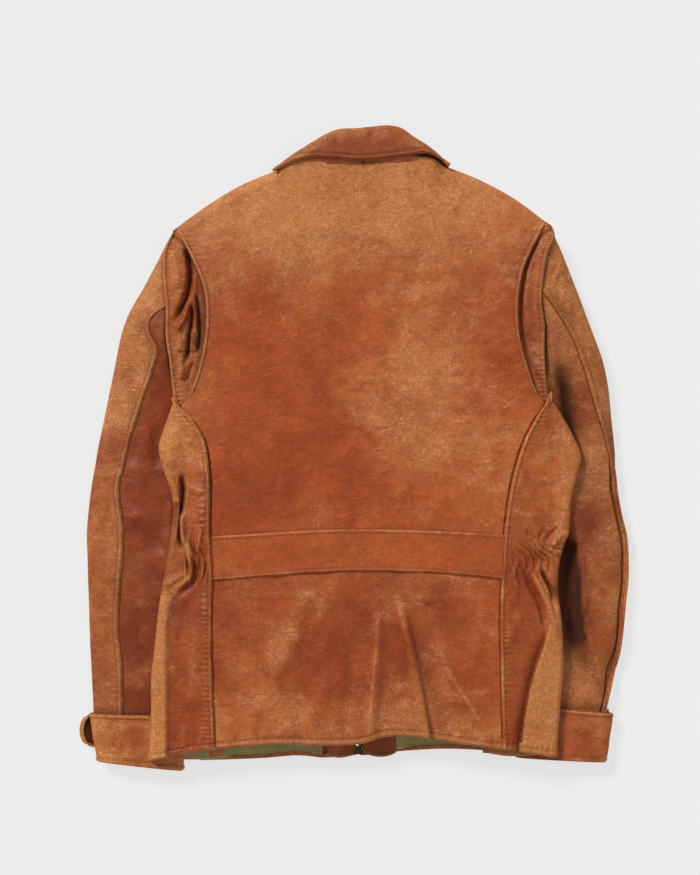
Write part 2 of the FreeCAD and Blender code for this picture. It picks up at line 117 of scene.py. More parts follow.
# Distance to a line, positive to the right of its run, and the share of its length passed.
def fromLine(x, y, points):
    line = along(points, np.linspace(0, 1, 24))
    best, side, share = np.full(x.shape, 1e9), np.zeros(x.shape), np.zeros(x.shape)
    for k in range(len(line) - 1):
        a, d = line[k], line[k + 1] - line[k]
        n = max(d @ d, 1e-9)
        t = np.clip(((x - a[0]) * d[0] + (y - a[1]) * d[1]) / n, 0, 1)
        ex, ey = x - a[0] - t * d[0], y - a[1] - t * d[1]
        dist = np.hypot(ex, ey)
        near = dist < best
        best = np.where(near, dist, best)
        side = np.where(near, np.sign(ex * d[1] - ey * d[0]), side)
        share = np.where(near, (k + t) / (len(line) - 1), share)
    return best * side, share


# A ridge (or with a negative height a valley) along a line, with its own width on either side.
def fold(x, y, points, height, left, right, fade=0.25):
    d, share = fromLine(x, y, points)
    ends = step(0, fade, share) * step(0, fade, 1 - share)
    return height * ends * np.where(d < 0, bell(d, left), bell(d, right))


# Adds a list of folds, each with its points, height and its two widths.
def addFolds(z, x, y, folds, fade=0.25):
    for points, height, left, right in folds:
        z = z + fold(x, y, points, height, left, right, fade)
    return z


# A layer that lies higher to the right of a line.
def lap(x, y, points, height, width, fade=0.25):
    d, share = fromLine(x, y, points)
    return height * step(-width, width, d) * step(0, fade, share) * bell(np.maximum(d, 0), 40)


def normals(grid):
    n = np.cross(np.gradient(grid, axis=1), np.gradient(grid, axis=0))
    return n / np.maximum(np.linalg.norm(n, axis=2, keepdims=True), 1e-9)


# Turns a grid of points into a sheet with thickness and a material, hangs it on its body (or, when blend is given,
# leaves it in place) and hides the parts it replaces.
def makeSheet(name, grid, body, material, thickness=1.6, wear=0.0, dirtAndShade=0.0, replaces=(), blend=None):
    rows, columns = grid.shape[:2]
    bpy.ops.mesh.primitive_grid_add(x_subdivisions=columns - 1, y_subdivisions=rows - 1, size=1)
    piece = bpy.context.object
    piece.name = piece.data.name = name
    mesh = piece.data
    mesh.vertices.foreach_set("co", (grid.reshape(-1, 3) / 1000).astype(np.float32).ravel())
    for word, value in (("wear", wear), ("dirtAndShade", dirtAndShade)):
        layer = mesh.attributes.new(word, "FLOAT", "POINT")
        layer.data.foreach_set("value", (np.zeros((rows, columns)) + value).astype(np.float32).ravel())
    across, lengthwise = lengths(grid, 1)[0] / 1000, lengths(grid, 0)[0] / 1000
    flatUv = np.stack([across, lengthwise], axis=-1).reshape(-1, 2)
    corner = np.zeros(len(mesh.loops), int)
    mesh.loops.foreach_get("vertex_index", corner)
    mesh.uv_layers[0].data.foreach_set("uv", flatUv[corner].astype(np.float32).ravel())
    mesh.update()
    if thickness:
        solid = piece.modifiers.new("thickness", "SOLIDIFY")
        solid.thickness, solid.offset = thickness / 1000, -1
        solid.use_even_offset = False
        bpy.ops.object.modifier_apply(modifier="thickness")
    bpy.ops.object.shade_smooth_by_angle(angle=math.radians(50))
    mesh.materials.clear()
    mesh.materials.append(material)
    piece.select_set(False)
    if blend:
        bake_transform(piece)
    else:
        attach(piece, body)
    if replaces:
        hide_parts(*replaces)


# Rolls one edge of a grid round and back underneath itself, as a folded edge lies.
def turnUnder(grid, side, radius, depth, steps=4):
    g = {"right": grid, "left": grid[:, ::-1], "top": grid.transpose(1, 0, 2),
         "bottom": grid[::-1].transpose(1, 0, 2)}[side]
    edge, out = g[:, -1], g[:, -1] - g[:, -4]
    out[:, 2] = 0
    out /= np.linalg.norm(out, axis=1, keepdims=True)
    radius = (np.zeros(len(edge)) + radius)[:, None]
    up = np.array([0, 0, 1.0])
    extra = [edge + out * radius * math.sin(a) - up * radius * (1 - math.cos(a))
             for a in np.linspace(0, math.pi, steps + 1)[1:]]
    extra += [extra[-1] - out * depth * k for k in (0.4, 1.0)]
    g = np.concatenate([g] + [e[:, None] for e in extra], axis=1)
    back = {"right": g, "left": g[:, ::-1], "top": g.transpose(1, 0, 2), "bottom": g.transpose(1, 0, 2)[::-1]}
    return back[side]


# Gives a map the rows or columns that turnUnder added, by repeating its last one.
def padTo(values, grid, side):
    extra = grid.shape[0 if side in ("top", "bottom") else 1] - values.shape[0 if side in ("top", "bottom") else 1]
    before, after = (extra, 0) if side in ("left", "bottom") else (0, extra)
    return np.pad(values, ((before, after), (0, 0)) if side in ("top", "bottom") else ((0, 0), (before, after)), "edge")


# Turns several edges under, each a side, a radius and a depth, and pads the wear map and the map of dirt and painted
# shade to match.
def turnEdges(grid, wear, dirtAndShade, edges):
    for side, radius, depth in edges:
        grid = turnUnder(grid, side, radius, depth)
        wear, dirtAndShade = padTo(wear, grid, side), padTo(dirtAndShade, grid, side)
    return grid, wear, dirtAndShade


# The columns the other way round, so that a mirrored piece still faces outwards.
def turnRound(grid, wear, dirtAndShade, threads):
    return grid[:, ::-1], wear[:, ::-1], dirtAndShade[:, ::-1], [t * [1, 1, 1, -1, -1, -1] for t in threads]


# How far a surface has dropped at distance d from its rounded edge.
def roundOver(d, radius):
    return radius * (1 - np.sqrt(np.clip(1 - np.clip(1 - d / radius, 0, 1) ** 2, 0, 1)))


# A stitched edge: rounded over, a little thicker, with the stitch line pressed in behind it.
def edgeRoll(d, width=8.0, lift=0.7, groove=0.7):
    return lift * step(width + 3, width - 3, d) - roundOver(d, 1.6) - groove * bell(d - width, 1.3)


# Small ripples along a stitch line.
def pucker(d, s, width=8.0, height=0.35, pitch=6.5, seed=3):
    phase = 2 * math.pi * s / pitch + 2.5 * noise(s, d * 0 + seed, 23, seed)
    return height * np.sin(phase) * bell(d - width, 5) * (0.6 + 0.6 * noise(s, d * 0, 40, seed + 9))


# The line on a grid at a distance from one of its sides, with the surface's normals there.
def lineOn(grid, side, distance):
    both = np.concatenate([grid, normals(grid)], axis=2)
    g = {"left": both, "right": both[:, ::-1], "bottom": both.transpose(1, 0, 2),
         "top": both[::-1].transpose(1, 0, 2)}[side]
    run = lengths(g[..., :3], 1)[0]
    return np.array([[np.interp(distance, run[i], g[i, :, k]) for k in range(6)] for i in range(len(g))])


stitch = {"length": 3.0, "pitch": 4.0, "radius": 0.42, "sink": 0.12}


# Thread along lines of points with normals: one short stitch, copied at an even pitch.
def makeStitches(name, lines, body, material, blend=None):
    bpy.ops.mesh.primitive_uv_sphere_add(segments=6, ring_count=4, radius=1)
    piece = bpy.context.object
    piece.name = piece.data.name = name
    one = np.array([v.co for v in piece.data.vertices])
    one = one[:, [2, 0, 1]] * [stitch["length"] / 2, stitch["radius"], stitch["radius"]]
    faces = [list(p.vertices) for p in piece.data.polygons]
    points, polygons = [], []
    for line in lines:
        d = np.r_[0, np.cumsum(np.linalg.norm(np.diff(line[:, :3], axis=0), axis=1))]
        s = np.arange(stitch["pitch"], d[-1] - stitch["pitch"], stitch["pitch"])
        at = np.stack([np.interp(s, d, line[:, k]) for k in range(6)], axis=1)
        ahead = np.stack([np.interp(s + 1.5, d, line[:, k]) for k in range(3)], axis=1)
        for p, q in zip(at, ahead):
            t = q - p[:3]
            t /= max(np.linalg.norm(t), 1e-9)
            n = p[3:] / max(np.linalg.norm(p[3:]), 1e-9)
            b = np.cross(n, t)
            place = p[:3] + n * (stitch["radius"] - stitch["sink"]) + one @ np.array([t, b, n])
            polygons += [[i + len(points) * len(one) for i in f] for f in faces]
            points.append(place)
    mesh = piece.data
    mesh.clear_geometry()
    mesh.from_pydata((np.concatenate(points) / 1000).tolist(), [], polygons)
    mesh.polygons.foreach_set("use_smooth", [True] * len(mesh.polygons))
    mesh.materials.clear()
    mesh.materials.append(material)
    piece.select_set(False)
    if blend:
        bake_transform(piece)
    else:
        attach(piece, body)


def newGroup(name, inputs, outputs):
    group = bpy.data.node_groups.new(name, "ShaderNodeTree")
    for word, kind, value in inputs:
        socket = group.interface.new_socket(word, in_out="INPUT", socket_type=kind)
        if value is not None:
            socket.default_value = value
    for word, kind in outputs:
        group.interface.new_socket(word, in_out="OUTPUT", socket_type=kind)
    return group, group.nodes.new("NodeGroupInput"), group.nodes.new("NodeGroupOutput")


# Short calls for adding and joining nodes in one tree.
class Wiring:
    def __init__(self, tree):
        self.tree = tree

    def node(self, kind, settings=None, **sockets):
        n = self.tree.nodes.new(kind)
        for word, value in (settings or {}).items():
            setattr(n, word, value)
        for word, value in sockets.items():
            self.put(n.inputs[word.replace("_", " ")], value)
        return n

    def put(self, socket, value):
        if isinstance(value, bpy.types.NodeSocket):
            self.tree.links.new(value, socket)
        else:
            socket.default_value = value

    def math(self, operation, a, b=0.0, clamp=False):
        n = self.tree.nodes.new("ShaderNodeMath")
        n.operation, n.use_clamp = operation, clamp
        self.put(n.inputs[0], a)
        self.put(n.inputs[1], b)
        return n.outputs[0]

    def noise(self, vector, scale, detail=4.0, rough=0.6, distortion=0.0):
        n = self.node("ShaderNodeTexNoise", Vector=vector, Scale=scale, Detail=detail, Roughness=rough,
                      Distortion=distortion)
        return n.outputs["Fac"]

    def between(self, value, low, high, a=0.0, b=1.0):
        n = self.node("ShaderNodeMapRange", {"interpolation_type": "SMOOTHSTEP"}, Value=value)
        for i, v in enumerate((low, high, a, b), start=1):
            self.put(n.inputs[i], v)
        return n.outputs[0]

    def mix(self, share, a, b, blend="MIX"):
        n = self.tree.nodes.new("ShaderNodeMix")
        n.data_type, n.blend_type = "RGBA", blend
        self.put(n.inputs[0], share)
        self.put(n.inputs[6], a)
        self.put(n.inputs[7], b)
        return n.outputs[2]

    def stretched(self, vector, scale, turn=0.0):
        return self.node("ShaderNodeMapping", Vector=vector, Scale=scale, Rotation=(0, 0, turn)).outputs[0]


def buildLeatherGroup():
    group, start, end = newGroup(
        "wornLeather",
        [("Vector", "NodeSocketVector", None), ("Wear", "NodeSocketFloat", 0.0), ("Dirt", "NodeSocketFloat", 0.0),
         ("Dye", "NodeSocketColor", (0.4, 0.12, 0.04, 1)), ("Deep", "NodeSocketColor", (0.2, 0.05, 0.02, 1)),
         ("Worn", "NodeSocketColor", (0.6, 0.3, 0.12, 1)), ("Rubbed", "NodeSocketFloat", 0.5)],
        [("Color", "NodeSocketColor"), ("Roughness", "NodeSocketFloat"), ("Height", "NodeSocketFloat")],
    )
    w = Wiring(group)
    at, wear, dirtAndShade = start.outputs["Vector"], start.outputs["Wear"], start.outputs["Dirt"]
    broad = w.noise(at, 9.0, 3.0, 0.5, 0.5)
    patches = w.noise(at, 32.0, 4.0, 0.6, 0.5)
    clusters = w.noise(w.stretched(at, (24, 34, 30), 0.4), 1.0, 4.0, 0.65, 0.8)
    flecks = w.noise(at, 210.0, 4.0, 0.8)
    specks = w.noise(at, 800.0, 3.0, 0.75)
    bent = w.mix(0.006, at, w.node("ShaderNodeTexNoise", Vector=at, Scale=70.0, Detail=4.0).outputs["Color"])
    # short strokes lying three ways, where the finish has been scuffed off
    strokes = w.noise(w.stretched(bent, (120, 520, 200), 0.12), 1.0, 2.0, 0.6, 0.4)
    strokes = w.math("MAXIMUM", strokes, w.noise(w.stretched(bent, (520, 110, 200), 0.2), 1.0, 2.0, 0.6, 0.4))
    strokes = w.math("MAXIMUM", strokes, w.noise(w.stretched(bent, (130, 500, 200), -0.9), 1.0, 2.0, 0.6, 0.4))
    strokes = w.between(strokes, 0.56, 0.7)
    cells = w.node("ShaderNodeTexVoronoi", {"feature": "DISTANCE_TO_EDGE"}, Vector=bent, Scale=330.0, Randomness=1.0)
    cracks = w.between(cells.outputs["Distance"], 0.02, 0.16, 1.0, 0.0)
    scratch = w.noise(w.stretched(bent, (45, 460, 60), 0.75), 1.0, 1.0, 0.5, 0.6)
    scratch = w.math("MAXIMUM", w.between(scratch, 0.72, 0.8),
                     w.between(w.noise(w.stretched(bent, (460, 40, 60), -0.25), 1.0, 1.0, 0.5, 0.8), 0.74, 0.82))
    tone = w.between(w.math("ADD", w.math("MULTIPLY", broad, 0.6), w.math("MULTIPLY", patches, 0.4)), 0.28, 0.7)
    color = w.mix(tone, start.outputs["Deep"], start.outputs["Dye"])
    level = w.math("ADD", w.math("MULTIPLY", wear, 0.8), w.math("MULTIPLY", start.outputs["Rubbed"], 0.3))
    level = w.math("ADD", level, w.math("MULTIPLY", w.math("SUBTRACT", broad, 0.5), 0.45))
    level = w.math("ADD", level, w.math("MULTIPLY", w.math("SUBTRACT", patches, 0.5), 0.32))
    worn = w.between(w.math("ADD", level, w.math("MULTIPLY", w.math("SUBTRACT", flecks, 0.5), 0.35)), 0.05, 1.05)
    color = w.mix(w.math("MULTIPLY", worn, 0.82), color, start.outputs["Worn"])
    bright = w.mix(0.4, start.outputs["Worn"], (0.74, 0.42, 0.2, 1))
    scuffed = w.math("ADD", clusters, w.math("MULTIPLY", w.math("SUBTRACT", level, 0.45), 0.5))
    scuffed = w.between(scuffed, 0.41, 0.68)
    fibres = w.math("MAXIMUM", strokes, w.math("MULTIPLY", cracks, w.between(patches, 0.42, 0.6, 0.15, 0.8)))
    fibres = w.math("MULTIPLY", fibres, w.between(specks, 0.3, 0.6, 0.5, 1.0))
    color = w.mix(w.math("MULTIPLY", w.math("MULTIPLY", fibres, scuffed), 0.75), color, bright)
    pits = w.math("MULTIPLY", w.between(flecks, 0.42, 0.3), w.between(level, 0.3, 0.9, 0.1, 0.4))
    color = w.mix(pits, color, start.outputs["Deep"])
    color = w.mix(w.math("MULTIPLY", w.math("MULTIPLY", scratch, w.between(broad, 0.4, 0.6)), 0.5), color, bright)
    # dirt and painted shade: the colour goes towards near black where the map is high, darker along stitch lines and
    # seams, and as painted shade in folds, hollows and beside raised edges
    soiledAndShaded = w.math("MULTIPLY", dirtAndShade, w.between(patches, 0.2, 0.7, 0.5, 0.76))
    color = w.mix(w.math("MINIMUM", soiledAndShaded, 0.96), color, (0.045, 0.011, 0.004, 1))
    mottle = w.noise(bent, 75.0, 4.0, 0.7, 0.8)
    value = w.math("ADD", w.between(specks, 0.3, 0.7, 0.82, 1.18), w.between(flecks, 0.3, 0.7, -0.13, 0.13))
    value = w.math("ADD", value, w.between(mottle, 0.3, 0.7, -0.12, 0.12))
    color = w.node("ShaderNodeHueSaturation", Color=color, Value=value).outputs[0]
    w.put(end.inputs["Color"], color)
    rough = w.math("ADD", 0.44, w.math("MULTIPLY", worn, 0.2))
    rough = w.math("ADD", rough, w.math("MULTIPLY", w.math("SUBTRACT", flecks, 0.5), 0.3))
    w.put(end.inputs["Roughness"], w.math("ADD", rough, w.math("MULTIPLY", soiledAndShaded, 0.6), True))
    grain = w.node("ShaderNodeTexVoronoi", {"feature": "F1"}, Vector=bent, Scale=700.0).outputs["Distance"]
    height = w.math("ADD", w.math("MULTIPLY", grain, -0.3), w.math("MULTIPLY", flecks, 0.7))
    height = w.math("SUBTRACT", height, w.math("MULTIPLY", w.math("MULTIPLY", cracks, scuffed), 0.35))
    wrinkles = w.noise(w.stretched(bent, (45, 110, 60), 0.3), 1.0, 3.0, 0.55, 1.2)
    height = w.math("ADD", height, w.math("MULTIPLY", wrinkles, 2.2))
    w.put(end.inputs["Height"], w.math("ADD", height, w.math("MULTIPLY", patches, 1.5)))
    return group


leatherGroup = buildLeatherGroup()


# A colour written as in a paint picker, in the values that shaders use.
def linear(text):
    parts = [int(text[i:i + 2], 16) / 255 for i in (0, 2, 4)]
    return tuple(c / 12.92 if c < 0.04045 else ((c + 0.055) / 1.055) ** 2.4 for c in parts) + (1.0,)


def newMaterial(name):
    material = bpy.data.materials.new(name)
    material.use_nodes = True
    tree = material.node_tree
    shader = next(n for n in tree.nodes if n.type == "BSDF_PRINCIPLED")
    return material, Wiring(tree), shader


def leather(name, dye, deep, worn, lightened=0.5, offset=(0, 0, 0), bump=0.5):
    material, w, shader = newMaterial(name)
    at = w.node("ShaderNodeTexCoord").outputs["Object"]
    at = w.node("ShaderNodeMapping", Vector=at, Location=offset).outputs[0]
    group = w.node("ShaderNodeGroup", {"node_tree": leatherGroup}, Vector=at,
                   Wear=w.node("ShaderNodeAttribute", {"attribute_name": "wear"}).outputs["Fac"],
                   Dirt=w.node("ShaderNodeAttribute", {"attribute_name": "dirtAndShade"}).outputs["Fac"],
                   Dye=linear(dye), Deep=linear(deep), Worn=linear(worn), Rubbed=lightened)
    w.put(shader.inputs["Base Color"], group.outputs["Color"])
    w.put(shader.inputs["Roughness"], group.outputs["Roughness"])
    relief = w.node("ShaderNodeBump", Height=group.outputs["Height"], Strength=bump, Distance=0.0009)
    w.put(shader.inputs["Normal"], relief.outputs[0])
    shader.inputs["Specular IOR Level"].default_value = 0.3
    return material


# A fine twill that follows the piece's own lengths.
def cloth(name, color, dark, pitch=1400.0, fuzz=0.3):
    material, w, shader = newMaterial(name)
    uv = w.node("ShaderNodeUVMap").outputs[0]
    twill = w.node("ShaderNodeTexWave", {"bands_direction": "DIAGONAL"}, Vector=uv, Scale=pitch / 6.28, Distortion=0.6,
                   Detail=1.0)
    soft = w.noise(w.node("ShaderNodeTexCoord").outputs["Object"], 40.0, 5.0, 0.7)
    share = w.math("ADD", w.math("MULTIPLY", twill.outputs["Fac"], 0.35), w.math("MULTIPLY", soft, 0.65))
    color = w.mix(w.between(share, 0.25, 0.75), linear(dark), linear(color))
    dirtAndShade = w.node("ShaderNodeAttribute", {"attribute_name": "dirtAndShade"}).outputs["Fac"]
    w.put(shader.inputs["Base Color"], w.mix(w.math("MULTIPLY", dirtAndShade, 0.6), color, (0.03, 0.02, 0.01, 1)))
    relief = w.node("ShaderNodeBump", Height=twill.outputs["Fac"], Strength=0.4, Distance=0.0003)
    w.put(shader.inputs["Normal"], relief.outputs[0])
    shader.inputs["Roughness"].default_value = 0.85
    shader.inputs["Sheen Weight"].default_value = fuzz
    return material


def metal(name, color, tarnish, roughness=0.38):
    material, w, shader = newMaterial(name)
    at = w.node("ShaderNodeTexCoord").outputs["Object"]
    spots = w.noise(at, 500.0, 5.0, 0.7)
    w.put(shader.inputs["Base Color"], w.mix(w.between(spots, 0.42, 0.66), linear(color), linear(tarnish)))
    w.put(shader.inputs["Roughness"], w.math("ADD", roughness, w.math("MULTIPLY", spots, 0.25)))
    relief = w.node("ShaderNodeBump", Height=w.noise(at, 1400.0, 3.0), Strength=0.25, Distance=0.0002)
    w.put(shader.inputs["Normal"], relief.outputs[0])
    shader.inputs["Metallic"].default_value = 1.0
    return material


backLeather = leather("backLeather", "a74c18", "88350d", "b77037", 0.42)
beltLeather = leather("beltLeather", "a54d1a", "913f14", "b3652c", 0.12, (0.3, 0.1, 0))
skirtLeather = leather("skirtLeather", "a24916", "84340d", "af642c", 0.2, (0.5, 0.4, 0))
sideLeather = leather("sideLeather", "9e4513", "7f300b", "b76f34", 0.3, (0.9, 0.2, 0))
sleeveLeather = leather("sleeveLeather", "9b4915", "79310c", "b36d34", 0.45, (0.2, 0.8, 0))
underSleeveLeather = leather("underSleeveLeather", "8e3b0e", "6e2807", "aa632c", 0.2, (0.7, 0.6, 0))
pleatLeather = leather("pleatLeather", "964014", "712909", "b2672e", 0.3, (0.1, 0.5, 0))
cuffLeather = leather("cuffLeather", "a4501f", "8a3a12", "b87036", 0.7, (0.4, 0.9, 0))
collarLeather = leather("collarLeather", "a04e20", "8c3f17", "b26f31", 0.3, (0.6, 0.1, 0))
innerLeather = leather("innerLeather", "944212", "74300c", "ac6029", 0.5, (0.8, 0.3, 0))
fleshSide = leather("fleshSide", "6c2702", "4d1900", "773308", 0.1, (0.8, 0.7, 0), bump=0.9)
liningCloth = cloth("liningCloth", "b6a362", "8a7c4a")
tapeCloth = cloth("tapeCloth", "3b3126", "241d16", 2600.0, 0.1)
elasticCloth = cloth("elasticCloth", "4a4336", "2b261e", 1800.0, 0.1)
threadCloth = cloth("threadCloth", "b07a48", "86552f", 3000.0, 0.2)
zipBrass = metal("zipBrass", "54472f", "211a12", 0.35)
snapBrass = metal("snapBrass", "9a8257", "54452c", 0.32)
print("materials ready")

# Outlines seen from above, each from the hem up or from left to right.
leftPleatLine = [(-219, 262), (-203, 232), (-188, 194), (-185, 165), (-188, 125), (-195, 93), (-208, 62)]
leftSideLine = [(-215, 52), (-198, 33), (-184, 8), (-178, -30), (-177, -105), (-174, -153), (-175, -210),
                (-174, -280), (-171, -357)]
rightPleatLine = [(226, 269), (213, 244), (203, 222), (197, 195), (195, 160), (197, 136), (204, 108), (222, 64)]
rightSideLine = [(226, 60), (214, 38), (199, 8), (187, -30), (175, -105), (172, -153), (170, -205), (171, -260),
                 (173, -357)]
neckLine = [(-98, 332), (-69, 345), (-20, 341), (9, 339), (84, 346), (108, 336)]
leftShoulder = [(-98, 332), (-142, 313), (-180, 290), (-219, 262)]
rightShoulder = [(226, 269), (190, 296), (147, 320), (108, 336)]
beltUpper = [(-175, -107), (-111, -103), (-33, -99), (45, -99), (122, -102), (177, -105)]
beltLower = [(-173, -157), (-85, -150), (-8, -146), (70, -147), (122, -150), (174, -156)]
backHem = [(-172, -357), (-85, -351), (-33, -353), (3, -351), (32, -343), (70, -343), (117, -350), (173, -358)]
leftArmhole = [(-220, 257), (-230, 235), (-231, 203), (-228, 168), (-228, 134), (-224, 104), (-218, 58)]
rightArmhole = [(230, 264), (233, 255), (225, 233), (219, 196), (218, 177), (221, 145), (221, 110), (224, 70)]


def backHeight(x, y):
    z = backTop - 0.4 + 1.6 * noise(x, y, 110, 1) + 0.7 * noise(x, y, 42, 2)
    return z - 2.5 * bell(x, 90) * bell(y + 40, 260)


# Small soft wrinkles, finer in some places than in others.
def creases(x, y, seed, height=0.35):
    wide = noise(x + 14 * noise(x, y, 60, seed + 1), y + 14 * noise(x, y, 55, seed + 2), 17, seed)
    fine = noise(x + 6 * noise(x, y, 25, seed + 3), y, 7, seed + 4)
    return height * (wide + 0.5 * fine * step(-0.2, 0.6, noise(x, y, 80, seed + 5)))


# The direction straight out from each place on a line, seen from above.
def outwards(line):
    slope = np.gradient(line, axis=0)
    out = np.stack([-slope[:, 1], slope[:, 0]], axis=1)
    return out / np.linalg.norm(out, axis=1, keepdims=True)


# Moves a sampled line so that it starts and ends at given places.
def fitTo(line, start, end):
    t = np.linspace(0, 1, len(line))[:, None]
    return line + (1 - t) * (start - line[0]) + t * (end - line[-1])


# A grid between four sampled lines; the sides are pulled to meet the ends of bottom and top.
def between(bottom, top, left, right, us, vs):
    left, right = fitTo(left, bottom[0], top[0]), fitTo(right, bottom[-1], top[-1])
    u, v = us[None, :, None], vs[:, None, None]
    corners = ((1 - u) * (1 - v) * bottom[0] + u * (1 - v) * bottom[-1] + (1 - u) * v * top[0]
               + u * v * top[-1])
    return (1 - v) * bottom[None] + v * top[None] + (1 - u) * left[:, None] + u * right[:, None] - corners


upperBack = {
    "columns": 208, "rows": 214, "shoulderRadius": 13, "shoulderHeight": 17, "edgeRadius": 1.8, "wrapRows": 12,
    "stitchInset": 4.4, "foot": [(-174, -128), (0, -122), (173, -128)],
    # strength, middle and half sizes of the patches that are rubbed more, or with a minus less
    "lightened": [(0.55, 95, 10, 90, 60), (0.3, -20, -75, 120, 25), (0.45, 95, 150, 70, 80), (-0.25, -110, 180, 50, 60)],
    "folds": [
        ([(-150, 60), (-158, 0), (-150, -60)], 1.4, 7, 9),
        ([(150, 110), (165, 60), (160, -10), (140, -70)], 1.2, 6, 12),
        ([(-120, 250), (-60, 262), (10, 250), (90, 262)], 1.0, 9, 9),
        ([(-30, 200), (40, 190), (120, 200)], -0.8, 8, 8),
        ([(30, 90), (35, 10), (30, -80)], 1.0, 10, 14),
        ([(-90, 60), (-100, 0), (-95, -80)], 1.2, 12, 9),
        ([(-60, -60), (20, -68), (110, -60)], -0.7, 6, 6),
    ],
}


def makeUpperBack():
    k = upperBack
    us, vs = shares(k["columns"], 0.72), shares(k["rows"], 0.5)
    outline = along(leftShoulder[::-1] + neckLine[1:-1] + rightShoulder[::-1], us)
    out = outwards(outline)
    shoulder = step(84, 104, np.abs(outline[:, 0] - 4))
    edge = k["edgeRadius"]
    radius, drop = (edge + (k[word] - edge) * shoulder for word in ("shoulderRadius", "shoulderHeight"))
    inset = outline - out * radius[:, None]
    left = along(([(-174, -128), (-177, -105)] + leftSideLine[3::-1] + leftPleatLine[::-1]), vs)
    right = along(([(173, -128), (175, -105)] + rightSideLine[3::-1] + rightPleatLine[::-1]), vs)
    xy = between(along(k["foot"], us), inset, left, right, us, vs)
    x, y = xy[..., 0], xy[..., 1]
    (dl, dr), dt = lengths(xy, 1), lengths(xy, 0)[1]
    z = backHeight(x, y) + creases(x, y, 20, 0.3)
    free = step(54, 70, y)  # the free pleat edges, above the side panels
    for d in (dl, dr):
        z += free * (edgeRoll(d, 4.8, 1.3, 0.8) + pucker(d, y, 6.0, 0.5)) - (1 - free) * 1.7 * step(3.0, 0.5, d)
        z += 2.2 * free * bell(d, 30) * step(240, 190, y)
    z -= 3.5 * bell(dt, 24) * shoulder[None, :]
    grid = np.dstack([xy, addFolds(z, x, y, k["folds"])])
    top, rows = grid[-1], []
    for a in np.linspace(0, math.radians(165), k["wrapRows"] + 1)[1:]:
        p = top.copy()
        p[:, :2] += out * (radius * math.sin(a))[:, None]
        p[:, 2] -= drop * (1 - math.cos(a))
        rows.append(p)
    wear = 0.85 * step(120, 300, y + 40 * noise(x, y, 90, 7)) + 0.25 * step(0, 60, noise(x, y, 70, 8) * 60 + 20)
    wear += 0.45 * free * (bell(dl, 3) + bell(dr, 3)) - 0.6 * bell(x + 112, 55) * bell(y - 25, 95)
    wear -= 0.3 * bell(x + 60, 130) * bell(y + 60, 50)
    for strength, middleX, middleY, wide, high in k["lightened"]:
        wear += strength * bell(np.hypot((x - middleX) / wide, (y - middleY) / high), 1)
    dirtAndShade = 0.4 * free * (bell(dl - 5.4, 0.8) + bell(dr - 5.4, 0.8)) + 0.9 * bell(dt, 2.0) * (1 - shoulder[None, :])
    # painted shade along the edges under the side panels and just above the belt's upper edge
    dirtAndShade += 0.6 * (1 - free) * (bell(dl, 1.8) + bell(dr, 1.8)) + 0.35 * step(7, 1, y - np.interp(x, *zip(*beltUpper)))
    threads = [lineOn(grid, side, k["stitchInset"]) for side in ("left", "right")]
    threads = [line[line[:, 1] > 60] for line in threads]
    grid = np.concatenate([grid] + [r[None] for r in rows])
    wear, dirtAndShade = (padTo(m, grid, "top") for m in (wear, dirtAndShade))
    makeSheet("upperBack", grid, "torso", backLeather, wear=wear, dirtAndShade=dirtAndShade, replaces=("back_upper",))
    makeStitches("pleatStitches", threads, "torso", threadCloth)


belt = {"columns": 200, "rows": 34, "lift": 3.2, "thickness": 1.2, "stitchInset": 3.4, "turn": (1.5, 5)}


def makeBelt():
    k = belt
    us, vs = shares(k["columns"], 0.6), shares(k["rows"], 0.6)
    xy = between(along(beltLower, us), along(beltUpper, us), along([beltLower[0], beltUpper[0]], vs),
                 along([beltLower[-1], beltUpper[-1]], vs), us, vs)
    x, y = xy[..., 0], xy[..., 1]
    (dl, dr), (db, dt) = lengths(xy, 1), lengths(xy, 0)
    z = backHeight(x, y) + k["lift"] + creases(x, y, 31, 0.35) - 2.4 * (step(3.5, 0.5, dl) + step(3.5, 0.5, dr))
    for d in (db, dt):
        z += edgeRoll(d, 2.8, 0.9, 0.7) + pucker(d, x, 4.0, 0.25, 5.0, 12)
    grid = np.dstack([xy, z])
    wear = 0.45 * bell(db, 1.8) + 0.7 * bell(dt, 1.5) + 0.25 * noise(x, y, 30, 5)
    # painted shade at both ends, where the belt runs under the side panels
    dirtAndShade = 0.2 * (bell(db - 3.8, 0.8) + bell(dt - 3.8, 0.8)) + 0.9 * (bell(dl, 2) + bell(dr, 2))
    threads = [lineOn(grid, side, k["stitchInset"]) for side in ("bottom", "top")]
    grid, wear, dirtAndShade = turnEdges(grid, wear, dirtAndShade, [(side, *k["turn"]) for side in ("bottom", "top")])
    makeSheet("halfBelt", grid, "torso", beltLeather, k["thickness"], wear, dirtAndShade, ("half_belt",))
    makeStitches("beltStitches", threads, "torso", threadCloth)
